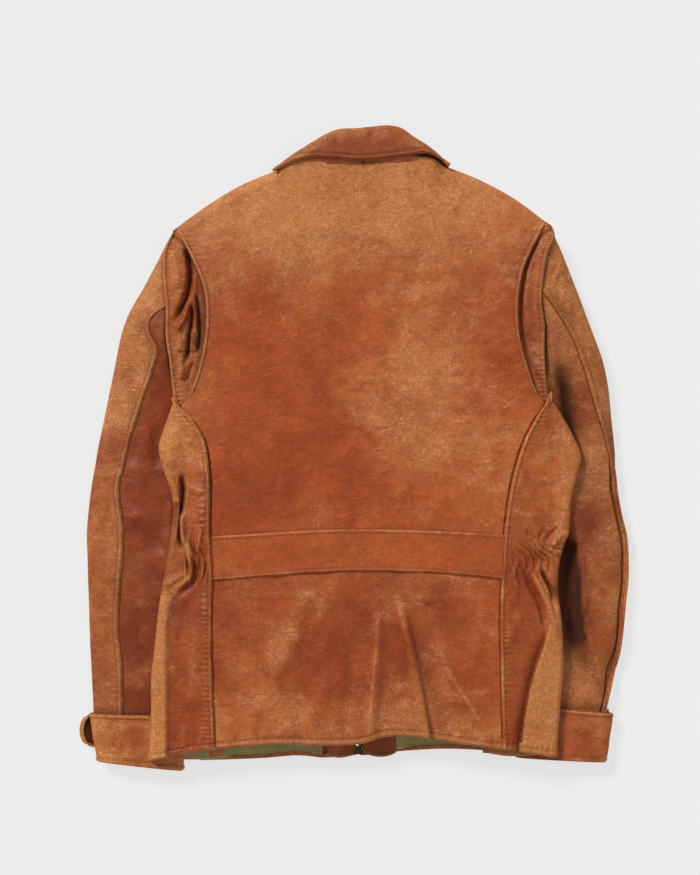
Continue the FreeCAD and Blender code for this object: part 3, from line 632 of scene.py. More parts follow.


# Each line is a place where the lower back is folded, lighter along a crest (wear with a painted highlight) or darker
# beside a fold (painted shade); the folds that reach the hem run on past it.
skirt = {
    "columns": 200, "rows": 150, "thickness": 1.3, "hemInset": 5.4, "hemTurn": (1.7, 12),
    "top": [(-174, -138), (0, -128), (173, -137)],
    "left": [(-171, -357), (-174, -280), (-175, -210), (-174, -138)],
    "right": [(173, -357), (171, -260), (170, -205), (173, -137)],
    "shade": [(54, -185), (64, -225), (77, -285), (88, -348)],
    "folds": [
        ([(24, -175), (22, -254), (16, -310), (12, -350)], 4.2, 10, 5),
        ([(44, -160), (52, -210), (68, -270), (84, -348)], 7.0, 12, 2.2),
        ([(60, -225), (78, -290), (92, -350)], -5.0, 2.4, 14),
        ([(96, -225), (106, -262), (126, -296), (146, -330)], 4.6, 14, 4),
        ([(120, -190), (100, -260)], -1.6, 18, 14),
        ([(-62, -165), (-78, -230), (-102, -285)], 3.0, 9, 13),
        ([(-100, -285), (-122, -320), (-128, -350)], 2.4, 7, 8),
        ([(-115, -330), (-112, -350)], 1.4, 6, 6),
        ([(-20, -250), (-45, -300), (-60, -350)], 2.2, 10, 9),
        ([(-5, -230), (-12, -300), (-14, -350)], -3.0, 9, 7),
        ([(-140, -260), (-148, -330)], -1.6, 10, 10),
        ([(-34, -200), (-40, -260), (-30, -320)], 1.6, 7, 9),
        ([(150, -180), (140, -230), (150, -300)], 1.4, 9, 9),
        ([(-150, -180), (-90, -176), (-30, -182)], 0.9, 5, 6),
        ([(60, -176), (110, -180), (160, -174)], 0.8, 5, 6),
    ],
    "lightened": [
        ([(24, -200), (12, -340)], 0.4, 1.8), ([(48, -180), (60, -240), (78, -340)], 0.4, 4),
        ([(104, -262), (143, -323)], 0.4, 2.5), ([(-66, -170), (-112, -300)], 0.35, 12),
    ],
    "soiledAndShaded": [([(31, -200), (28, -270), (21, -348)], 0.3, 3.5), ([(-96, -260), (-70, -345)], 0.22, 6)],
}


def makeSkirt():
    k = skirt
    us, vs = shares(k["columns"], 0.55), shares(k["rows"], 0.5)
    xy = between(along(backHem, us), along(k["top"], us), along(k["left"], vs), along(k["right"], vs), us, vs)
    x, y = xy[..., 0], xy[..., 1]
    (dl, dr), (db, dt) = lengths(xy, 1), lengths(xy, 0)
    z = backHeight(x, y) + creases(x, y, 47, 0.45) + 0.8 * noise(x, 0.6 * y, 24, 48)
    for points, height, left, right in k["folds"]:
        past = [(points[-1][0], -380)] if points[-1][1] <= -340 else []
        z += fold(x, y, points + past, height, left, right, 0.3)
    z += edgeRoll(db, 5.6, 0.8, 0.9) + pucker(db, x, 8.0, 0.6, 6.5, 15)
    z -= 1.7 * (step(3.0, 0.5, dl) + step(3.0, 0.5, dr)) + 1.5 * step(14, 6, dt)
    grid = np.dstack([xy, z])
    wear = 0.7 * bell(db, 3) + 0.35 * step(70, 0, db + 30 * noise(x, y, 60, 3)) + 0.3 + 0.3 * noise(x, y, 45, 49)
    # lighter along fold crests: wear with a painted highlight
    for points, strength, width in k["lightened"]:
        wear += strength * bell(fromLine(x, y, points)[0], width)
    # painted shade along the sides under the side panels and below the belt's lower edge
    dirtAndShade = 0.4 * bell(db - 6.4, 1.0) + 0.6 * (bell(dl, 1.8) + bell(dr, 1.8)) + 0.7 * bell(dt - 9, 2)
    # painted shade on the dark side of the big fold
    beside = fromLine(x, y, k["shade"])[0]
    dirtAndShade += (1.0 * bell(beside + 0.5, 2.6) + 0.2 * bell(beside + 12, 9)) * step(-175, -235, y)
    # painted shade along two more folds
    for points, strength, width in k["soiledAndShaded"]:
        dirtAndShade += strength * bell(fromLine(x, y, points)[0], width)
    threads = [lineOn(grid, "bottom", k["hemInset"])]
    grid, wear, dirtAndShade = turnEdges(grid, wear, dirtAndShade, [("bottom", *k["hemTurn"])])
    makeSheet("lowerBack", grid, "torso", skirtLeather, k["thickness"], wear, dirtAndShade, ("back_skirt",))
    makeStitches("hemStitches", threads, "torso", threadCloth)


makeUpperBack()
makeBelt()
makeSkirt()
print("back panels ready")


sidePanel = {
    "columns": 74, "rows": 250, "edgeRadius": 8.0, "thickness": 1.2, "seamInset": 3.6, "hemInset": 6.0,
    "reach": 181, "turns": [("left", 1.5, 6), ("bottom", 1.5, 10)],
    "left": {
        "seam": leftSideLine[::-1] + [(-217, 57)],
        "outer": [(-250, -371), (-247, -319), (-247, -276), (-243, -240), (-238, -193), (-231, -150), (-224, -105),
                  (-222, -58), (-233, -24), (-238, 0), (-232, 22), (-219, 58)],
        "hem": [(-171, -357), (-200, -361), (-225, -366), (-250, -371)],
        "waist": -104,
        "flap": [(-214, -158), (-224, -190), (-228, -240), (-227, -300), (-228, -385)],
        "lightened": [(-216, -158), (-224, -190), (-229, -240), (-228, -300), (-229, -385)],
        "folds": [
            ([(-209, -37), (-204, -45), (-206, -63), (-209, -82), (-208, -107), (-202, -120), (-198, -137),
              (-199, -153), (-213, -166), (-223, -183)], 7.0, 3.4, 4.2),
            ([(-195, -112), (-194, -126), (-193, -144), (-194, -157), (-204, -168), (-217, -180)], -3.0, 3, 4),
            ([(-211, -30), (-209, -50), (-211, -86)], -12.0, 4.0, 2.6),
            ([(-211, -60), (-213, -96), (-212, -112), (-207, -124)], -8.0, 2.2, 2.0),
            ([(-229, -20), (-219, -60), (-216, -82), (-222, -100), (-227, -125), (-228, -148)], 5.0, 5, 6),
            ([(-186, -96), (-189, -111), (-191, -128)], 4.5, 2.6, 2.8),
            ([(-184, -130), (-184, -156)], 3.4, 1.8, 1.9),
            ([(-179, -128), (-179, -156)], 3.0, 1.6, 1.7),
            ([(-206, -132), (-206, -157)], 3.0, 2.2, 2.2),
            ([(-229, -165), (-216, -156), (-203, -146)], 4.0, 3.5, 3.2),
            ([(-211, -37), (-196, -47), (-182, -54)], 3.0, 3.0, 5),
            ([(-216, 30), (-222, 5), (-221, -26)], 2.5, 7, 9),
            ([(-203, 20), (-200, -10), (-196, -40)], 1.6, 6, 8),
            ([(-196, -170), (-204, -195), (-210, -230), (-211, -290)], -2.6, 7, 7),
            ([(-190, -200), (-196, -260), (-196, -320)], 1.8, 8, 10),
            ([(-184, -330), (-190, -362)], 1.2, 4, 4),
            ([(-206, -330), (-210, -365)], 1.4, 4, 4),
        ],
        "soiledAndShaded": [
            ([(-211, -30), (-209, -50), (-211, -86)], 1.1, 3.2, 2.2, 0.3),
            ([(-211, -60), (-213, -96), (-212, -112), (-207, -124)], 0.9, 1.6, 1.6, 0.2),
            ([(-195, -112), (-193, -144), (-194, -157), (-204, -168), (-217, -180)], 0.3, 1.8, 1.8, 0.25),
        ],
    },
    "right": {
        "seam": rightSideLine[::-1] + [(226, 63)],
        "outer": [(237, -367), (242, -300), (245, -262), (243, -215), (240, -181), (239, -153), (245, -120),
                  (252, -100), (254, -65), (260, -38), (266, -8), (258, 12), (245, 36), (228, 64)],
        "hem": [(173, -357), (190, -359), (215, -363), (237, -367)],
        "waist": -96,
        "flap": [(190, -392), (197, -324), (204, -288), (214, -253), (221, -235), (226, -215)],
        "folds": [
            ([(206, -144), (217, -166), (227, -186), (233, -208), (236, -232)], 8.0, 3.6, 4.6),
            ([(216, -144), (225, -160), (230, -172), (233, -186)], -8.0, 2.4, 2.2),
            ([(214, -143), (219, -156), (226, -168), (232, -182)], 3.6, 2.2, 1.8),
            ([(237, -140), (236, -170), (238, -195)], 5.0, 2.4, 3),
            ([(196, -146), (204, -164), (213, -180), (219, -200), (222, -222)], -4.5, 4.5, 2.2),
            ([(247, -97), (238, -109), (228, -120)], 5.5, 3.4, 3.6),
            ([(240, -94), (230, -104), (222, -114)], -3.0, 3, 3),
            ([(199, -98), (206, -106), (214, -110)], -2.6, 2.6, 2.6),
            ([(222, -96), (218, -104), (214, -112)], -2.2, 2.2, 2.2),
            ([(228, -66), (240, -76), (248, -80)], -2.6, 3, 4),
            ([(182, -72), (200, -80), (222, -78)], 1.8, 4, 5),
            ([(206, -66), (196, -46), (192, -20)], 1.8, 6, 7),
            ([(240, 0), (248, -30), (246, -60)], 2.0, 7, 7),
            ([(200, -36), (216, -40), (234, -34)], 1.3, 4, 5),
            ([(190, -132), (186, -152), (190, -176)], 2.4, 2.8, 3.2),
            ([(198, -190), (184, -212), (178, -240)], 2.2, 6, 7),
        ],
        "soiledAndShaded": [
            ([(216, -146), (225, -161), (230, -172), (233, -184)], 1.0, 2.4, 2.0, 0.25),
            ([(196, -146), (204, -164), (213, -180), (219, -200), (222, -222)], 0.6, 3.5, 1.5, 0.25),
        ],
    },
}


def gathersLeft(x, y):
    sway = 6 * np.sin((y + 130) / 13) * bell(y + 125, 40) + 3 * noise(x, y, 26, 61)
    z = 2.6 * np.sin(2 * math.pi * (x + sway) / 7.6) * bell(y + 134, 22) * step(-176, -180, x) * step(-210, -202, x)
    z += 1.5 * np.sin(2 * math.pi * (y + 3 * noise(x, y, 14, 66)) / 6.6) * bell(x + 181, 5) * bell(y + 180, 22)
    z += 1.2 * np.sin(2 * math.pi * y / 8) * bell(x + 184, 5) * bell(y + 75, 30)
    z = addFolds(z, x, y, sidePanel["left"]["folds"], 0.22)
    return z + lap(x, y, sidePanel["left"]["flap"], 3.4, 4.0, 0.2)


def gathersRight(x, y):
    r = np.hypot(x - 218, y + 122)
    sway = 7 * np.sin((y + 118) / 10) + 5 * noise(x, y, 20, 71)
    z = 1.9 * np.sin(2 * math.pi * (0.9 * x + 0.35 * y + sway) / 8.5) * bell(y + 128, 17) * step(184, 196, x)
    z += 1.3 * noise(x, y, 9, 72) * bell(r, 26)
    z += 1.4 * np.sin(2 * math.pi * (x + 5 * np.sin((y + 150) / 13)) / 8) * bell(y + 148, 14) * step(178, 186, x) \
        * step(206, 200, x)
    z = addFolds(z, x, y, sidePanel["right"]["folds"])
    flap = sidePanel["right"]["flap"]
    return z + lap(x, y, flap, 8.0, 1.2, 0.2) + fold(x, y, flap, -3.5, 8, 1, 0.2)


def makeSidePanel(side):
    k, sign = sidePanel[side], -1 if side == "left" else 1
    us, vs = shares(sidePanel["columns"], 0.45), shares(sidePanel["rows"], 0.35)
    seam, outer, hem = along(k["seam"], vs), along(k["outer"], vs), along(k["hem"], us)
    radius = np.minimum(sidePanel["edgeRadius"], np.abs(outer[:, 0] - seam[:, 0]) * 0.45)
    inset = outer - np.stack([sign * radius, radius * 0], axis=1)
    hem = fitTo(hem, seam[0], inset[0])
    xy = between(hem, fitTo(along([seam[-1], inset[-1]], us), seam[-1], inset[-1]), seam, inset, us, vs)
    x, y = xy[..., 0], xy[..., 1]
    (ds, do), (db, dt) = lengths(xy, 1), lengths(xy, 0)
    z = backHeight(x, y) + 0.6 - 4.5 * step(0.25, 1.0, us)[None, :] + creases(x, y, 81, 0.4)
    gathers = (gathersLeft if side == "left" else gathersRight)(x, y) * step(0, 9, ds) * step(0, 25, dt)
    z += gathers
    z += 2.6 * step(22, 2, ds) + edgeRoll(ds, 3.6, 1.1, 0.8) + pucker(ds, y, 6.0, 0.7, 6.0, 21)
    z += edgeRoll(db, 6.0, 0.8, 0.9) + pucker(db, x, 8.0, 0.6, 6.0, 22) - 3 * step(14, 0, dt)
    grid = np.dstack([xy, z])
    wear = (0.35 + 0.3 * noise(x, y, 24, 19)) * bell(ds - 1, 1.5) + 0.6 * bell(db, 2.2) + 0.3 * step(25, 0, do)
    wear += 0.22 + 0.2 * noise(x, y, 55, 9) + 0.13 * np.clip(gathers - 0.5, 0, 5)
    dirtAndShade = 0.3 * bell(ds - 4.4, 0.8) + 0.3 * bell(db - 6.6, 1.0)
    dirtAndShade += 0.15 * bell(y - k["waist"] + 25, 26) * step(5, 20, ds)
    if side == "left":
        d = fromLine(x, y, k["lightened"])[0]
        wear += 0.5 * step(-3, 6, d) * step(-150, -200, y) + 0.3 * step(-100, -30, y)
        # painted shade along the foot of the raised strip, on its inner side
        dirtAndShade += 0.35 * bell(d + 5, 4) * step(-150, -200, y)
    else:
        d = fromLine(x, y, k["flap"])[0]
        wear += 0.4 * step(-1, 4, d) * step(-190, -260, y)
        # painted shadow along the foot of the raised flap, and painted shade in the hollows of the gathers
        dirtAndShade += 0.9 * bell(d + 2, 4) * step(1, -1, d) * step(-200, -240, y)
        dirtAndShade += 0.12 * np.clip(-gathers - 0.4, 0, 3) * bell(y + 128, 22)
    # painted shade inside the deep folds
    for points, strength, a, b, fade in k["soiledAndShaded"]:
        dirtAndShade += strength * fold(x, y, points, 1, a, b, fade)
    threads = [lineOn(grid, "left", sidePanel["seamInset"]), lineOn(grid, "bottom", sidePanel["hemInset"])]
    columns, reach = [], sidePanel["reach"]
    edge, deep = grid[:, -1], (grid[:, -1, 2] - sideUnder) / 2
    for a in np.linspace(0, math.pi, 11)[1:]:
        p = edge.copy()
        p[:, 0] += sign * radius * math.sin(a)
        p[:, 2] -= deep * (1 - math.cos(a))
        columns.append(p)
    last = columns[-1]
    for t in np.linspace(0, 1, 15)[1:]:
        p = last.copy()
        p[:, 0] = last[:, 0] + (sign * reach - last[:, 0]) * t
        p[:, 2] += 0.5 * noise(p[:, 0], p[:, 1], 30, 4) * math.sin(math.pi * t)
        columns.append(p)
    for t in np.linspace(0, 1, 11)[1:]:
        p = columns[-1].copy()
        p[:, 0] = sign * (reach - 30 * t)
        p[:, 2] = sideUnder + (1.6 - sideUnder) * step(0, 1, t)
        columns.append(p)
    grid = np.concatenate([grid] + [c[:, None] for c in columns], axis=1)
    wear, dirtAndShade = (np.pad(m, ((0, 0), (0, len(columns))), "edge") for m in (wear, dirtAndShade))
    grid, wear, dirtAndShade = turnEdges(grid, wear, dirtAndShade, sidePanel["turns"])
    grid[:, :, 2] = np.maximum(grid[:, :, 2], 0.4)
    if sign < 0:
        grid, wear, dirtAndShade, threads = turnRound(grid, wear, dirtAndShade, threads)
    makeSheet(f"sidePanel.{side}", grid, "torso", sideLeather, sidePanel["thickness"], wear, dirtAndShade,
              (f"side_panel_{side}",))
    makeStitches(f"sideStitches.{side}", threads, "torso", threadCloth)


pleat = {
    "columns": 56, "rows": 170, "thickness": 1.2, "stitchInset": 2.8, "turn": (1.3, 4), "hidden": 11,
    "left": {
        "inner": leftPleatLine + [(-203, 46)], "outer": leftArmhole + [(-215, 44)], "level": 38.6, "fade": 0.2,
        "edgeShade": 0.8,
        "folds": [
            ([(-207, 243), (-202, 225), (-200, 205), (-203, 186), (-211, 166), (-219, 148)], -12.0, 3.6, 3.2),
            ([(-199, 178), (-198, 152), (-201, 134), (-203, 116), (-206, 97)], -10.0, 2.4, 2.6),
            ([(-194, 190), (-190, 160), (-189, 135), (-192, 108)], -7.0, 1.8, 1.8),
            ([(-201, 173), (-208, 152), (-218, 136)], 4.5, 3.0, 4.0),
            ([(-198, 214), (-194, 190), (-194, 160), (-192, 130)], 3.0, 2.6, 2.6),
            ([(-196, 160), (-198, 140), (-196, 118)], 3.4, 2.4, 2.4),
            ([(-222, 236), (-216, 208), (-214, 186)], 3.0, 5, 4),
            ([(-216, 150), (-212, 132), (-212, 116)], 2.4, 3.0, 3.0),
            ([(-218, 113), (-206, 114), (-190, 113)], -3.0, 1.4, 1.6),
            ([(-222, 100), (-212, 92), (-203, 84)], 3.0, 4, 4),
            ([(-196, 104), (-200, 90), (-208, 76)], -4.0, 3, 3),
            ([(-212, 108), (-209, 96), (-212, 80)], 2.6, 3, 3),
        ],
    },
    "right": {
        "inner": rightPleatLine + [(214, 46)], "outer": rightArmhole + [(227, 46)], "level": 40.2, "fade": 0.25,
        "edgeShade": 0.7,
        "folds": [
            ([(209, 235), (204, 210), (203, 160), (208, 125)], 1.5, 4, 5),
            ([(206, 118), (214, 112), (220, 108)], 2.0, 3, 4),
            ([(200, 140), (206, 120), (214, 100)], -1.5, 4, 4),
        ],
    },
}


def makePleat(side):
    k, left = pleat[side], side == "left"
    sign = -1 if left else 1
    us, vs = shares(pleat["columns"], 0.5), shares(pleat["rows"], 0.3)
    inner = along(k["inner"][::-1], vs) - [sign * pleat["hidden"], 0]
    inner[:, 0] += sign * 9 * step(0.9, 1.0, vs)
    outer = along(k["outer"][::-1], vs)
    xy = between(along([inner[0], outer[0]], us), along([inner[-1], outer[-1]], us), inner, outer, us, vs)
    x, y = xy[..., 0], xy[..., 1]
    di, do = lengths(xy, 1)
    z = k["level"] - 1.5 * step(1, 0, us)[None, :] + creases(x, y, 91, 0.7)
    if not left:
        z -= 3.0 * bell(di - 9.5, 3) * step(90, 130, y) * step(262, 240, y)
    z = addFolds(z, x, y, k["folds"], k["fade"])
    z += edgeRoll(do, 3.0, 1.2, 0.8) + pucker(do, y, 3.6, 0.5, 5.5, 31)
    grid = np.dstack([xy, z])
    wear = 0.45 * bell(do, 1.8) + 0.5 + 0.3 * noise(x, y, 40, 6)
    # painted shade under the back's pleat edge, which lies over the gusset
    dirtAndShade = k["edgeShade"] * bell(di - 9.5, 3) * step(60, 100, y) + 0.3 * bell(do - 4.2, 0.8)
    if left:
        wear += 0.5 * bell(do - 14, 8) * step(140, 200, y)
        # painted shade along the three deep folds
        for points, _, _, _ in k["folds"][:3]:  # the three deep folds
            dirtAndShade += 1.1 * fold(x, y, points, 1, 2.6, 2.6, 0.2)
    threads = [lineOn(grid, "right", pleat["stitchInset"])]
    grid, wear, dirtAndShade = turnEdges(grid, wear, dirtAndShade, [("right", *pleat["turn"])])
    if left:
        grid, wear, dirtAndShade, threads = turnRound(grid, wear, dirtAndShade, threads)
    makeSheet(f"actionPleat.{side}", grid, "torso", pleatLeather, pleat["thickness"], wear, dirtAndShade,
              (f"pleat_gusset_{side}",))
    makeStitches(f"armholeStitches.{side}", threads, "torso", threadCloth)


for side in ("left", "right"):
    makeSidePanel(side)
    makePleat(side)
print("side panels and pleats ready")


# In each sleeve: the outlines of the arm, the raised seam, how high and low it lies, and its folds.
sleeve = {
    "outerColumns": 104, "outerRows": 235, "underColumns": 112, "underRows": 205, "liningColumns": 60, "liningRows": 90,
    "thickness": 1.2, "liningThickness": 0.5, "stitchInsets": (2.6, 7.0), "turn": (1.2, 5), "hollowDepth": 0.8,
    "high": [(-326, 22.5), (-314, 23), (-290, 24.5), (40, 24.5), (100, 31), (150, 36), (200, 37.5), (235, 36),
             (262, 31)],
    "low": [(-326, 6.5), (-314, 5), (-295, 0.6), (200, 0.8), (235, 4), (262, 14)],
    "left": {
        "outer": [(-318, -326), (-322, -252), (-324, -181), (-326, -98), (-320, -39), (-315, -14), (-302, 50),
                  (-291, 100), (-283, 140), (-275, 160), (-257, 192), (-238, 228), (-229, 246), (-221, 259)],
        "inner": [(-211, -326), (-197, -240), (-184, -115), (-181, 0), (-178, 62)],
        "seam": [(-283, -330), (-284, -260), (-288, -219), (-286, -172), (-283, -134), (-282, -100), (-286, -39),
                 (-283, -29), (-274, 8), (-265, 36), (-257, 61), (-246, 91), (-241, 122), (-248, 134), (-250, 147),
                 (-242, 160), (-227, 169)],
        "armhole": leftArmhole, "top": 256, "end": -326, "hollow": [(-200, 226), (-110, 222), (-60, 220)],
        "folds": [
            ([(-281, -92), (-262, -102), (-240, -116), (-228, -130)], -3.5, 7, 9),
            ([(-278, -118), (-258, -140), (-240, -170)], -3.0, 10, 10),
            ([(-276, -80), (-256, -84), (-236, -96)], 2.4, 9, 8),
            ([(-246, 30), (-240, 0), (-244, -30)], -5.5, 10, 8),
            ([(-262, 90), (-252, 50), (-256, 20)], 2.2, 9, 9),
            ([(-270, -10), (-262, -50), (-256, -70)], 2.0, 8, 8),
            ([(-266, -190), (-258, -240), (-262, -290)], -1.8, 12, 12),
            ([(-300, 40), (-306, -20), (-310, -80)], 1.5, 9, 7),
            ([(-296, -60), (-302, -100), (-300, -160)], -1.6, 6, 7),
            ([(-318, -96), (-306, -104), (-292, -112)], -1.6, 5, 6),
            ([(-306, -190), (-308, -250), (-304, -300)], 1.4, 7, 7),
            ([(-262, 175), (-256, 150), (-258, 125)], -2.0, 7, 7),
            ([(-280, 120), (-270, 90), (-268, 60)], -1.6, 7, 8),
            ([(-236, 150), (-234, 120), (-230, 90)], 1.5, 5, 6),
        ],
    },
    "right": {
        "outer": [(298, -320), (302, -300), (305, -270), (315, -241), (319, -193), (323, -153), (323, -117),
                  (316, -82), (311, -50), (310, -24), (305, 33), (299, 81), (290, 116), (277, 150), (263, 187),
                  (247, 228), (235, 256), (231, 266)],
        "inner": [(197, -320), (190, -240), (184, -115), (181, 0), (178, 62)],
        "seam": [(290, -330), (300, -290), (311, -245), (317, -190), (321, -140), (319, -108), (314, -87), (309, -60),
                 (306, -34), (298, 5), (284, 54), (271, 95), (257, 132), (238, 162), (218, 191)],
        "armhole": rightArmhole, "top": 262, "end": -320,
        "hollow": [(-290, 296), (-245, 281), (-222, 273), (-200, 269), (-165, 267), (-147, 266), (-120, 262),
                   (-100, 250)],
        "folds": [
            ([(237, 112), (245, 80), (250, 46), (256, 6), (257, -30)], -13.0, 9, 8),
            ([(234, 198), (246, 204), (256, 214)], -1.8, 3, 3), ([(234, 198), (248, 192), (258, 186)], -1.8, 3, 3),
            ([(234, 198), (240, 184), (244, 172)], -1.6, 3, 3), ([(232, 204), (236, 216), (238, 226)], -1.6, 3, 3),
            ([(262, 30), (272, 10), (280, -6)], -3.0, 4, 5),
            ([(246, -80), (251, -120), (252, -160), (256, -200), (270, -250)], -13.0, 14, 8.0),
            ([(256, -92), (267, -125), (270, -160), (273, -195), (285, -240)], 4.0, 3.2, 14),
            ([(252, -60), (266, -62), (282, -66)], 1.4, 2.4, 2.6),
            ([(254, -68), (268, -71), (284, -74)], -1.2, 2.4, 2.4),
            ([(262, -236), (278, -268), (294, -306)], -3.6, 5, 5),
            ([(280, -40), (286, -80), (282, -120)], -3.5, 12, 12),
            ([(300, -60), (304, -110), (302, -170)], 2.0, 12, 10),
            ([(255, -215), (272, -245), (290, -285), (298, -310)], 3.2, 10, 6),
            ([(252, -250), (262, -280), (268, -305)], -2.2, 10, 10),
            ([(282, -250), (276, -280), (280, -300)], -2.0, 7, 8),
            ([(228, 236), (246, 216), (256, 196)], -1.8, 6, 7),
            ([(236, 140), (232, 110), (238, 80)], 2.6, 7, 7),
            ([(222, 170), (236, 150), (240, 128)], 1.4, 6, 6),
            ([(276, 130), (284, 90), (292, 50)], 1.8, 8, 8),
        ],
    },
}
frontArmhole = [(221, 264), (184, 205), (173, 150), (161, 95), (150, 57)]


# How far out a line is at each height y.
def across(points, y):
    line = along(points, np.linspace(0, 1, 300))
    order = np.argsort(line[:, 1])
    return np.interp(y, line[order, 1], line[order, 0])


# The outside of one arm: angle 0 is its outer edge, a quarter turn is its top.
class SleeveShape:
    def __init__(self, side):
        self.k, self.sign = sleeve[side], -1 if side == "left" else 1

    def section(self, y):
        s = self.sign
        outer = s * across(self.k["outer"], y)
        inner = np.where(y < 62, s * across(self.k["inner"], y), across(frontArmhole, y) + 4)
        inner = inner * (1 - bell(y - 62, 25)) + bell(y - 62, 25) * 180
        inner = np.minimum(inner, outer - 7)
        high, low = (np.interp(y, *zip(*sleeve[word])) for word in ("high", "low"))
        return outer, inner, high, low

    def fromHollow(self, x, y):
        return x * self.sign - np.interp(y, *zip(*self.k["hollow"]))

    def hollowShare(self, y):
        edge = self.k["hollow"]
        return step(edge[-1][0], edge[-1][0] - 12, y) * step(edge[0][0], edge[0][0] + 70, y)

    def inHollow(self, x, y):
        d = self.fromHollow(x, y)
        return step(1.0, -3.5, d) * step(-44, -22, d) * self.hollowShare(y)

    def angle(self, x, y):
        outer, inner = self.section(y)[:2]
        t = np.clip((x * self.sign - (outer + inner) / 2) / ((outer - inner) / 2), -0.999, 0.999)
        return np.arccos(np.sign(t) * np.abs(t) ** 1.25)

    def points(self, angle, y):
        outer, inner, high, low = self.section(y)
        c, s = np.cos(angle), np.sin(angle)
        x = (outer + inner) / 2 + (outer - inner) / 2 * np.sign(c) * np.abs(c) ** 0.8
        z = (high + low) / 2 + (high - low) / 2 * np.sign(s) * np.abs(s) ** 0.8
        x = x * self.sign
        up = np.clip(s, 0, 1) ** 0.7
        for line in self.k["folds"]:
            z = z + up * fold(x, y, *line, 0.3)
        z = z + up * (3.0 * bell(self.fromHollow(x, y) - 4, 4) * self.hollowShare(y)
                      - sleeve["hollowDepth"] * self.inHollow(x, y))
        z = z + np.sign(s) * np.abs(s) ** 0.5 * (creases(x, y, 101 + self.sign, 0.8) + 1.5 * noise(x, y, 44, 105))
        x = x + self.sign * np.abs(c) ** 3 * 0.7 * noise(y, y * 0 + np.sign(c), 33, 107)
        return np.dstack([x, y, np.maximum(z, 0.3)])


# Places from low to high, crowded near both ends.
def spread(low, high, count, crowd):
    return low + (high - low) * shares(count, crowd)


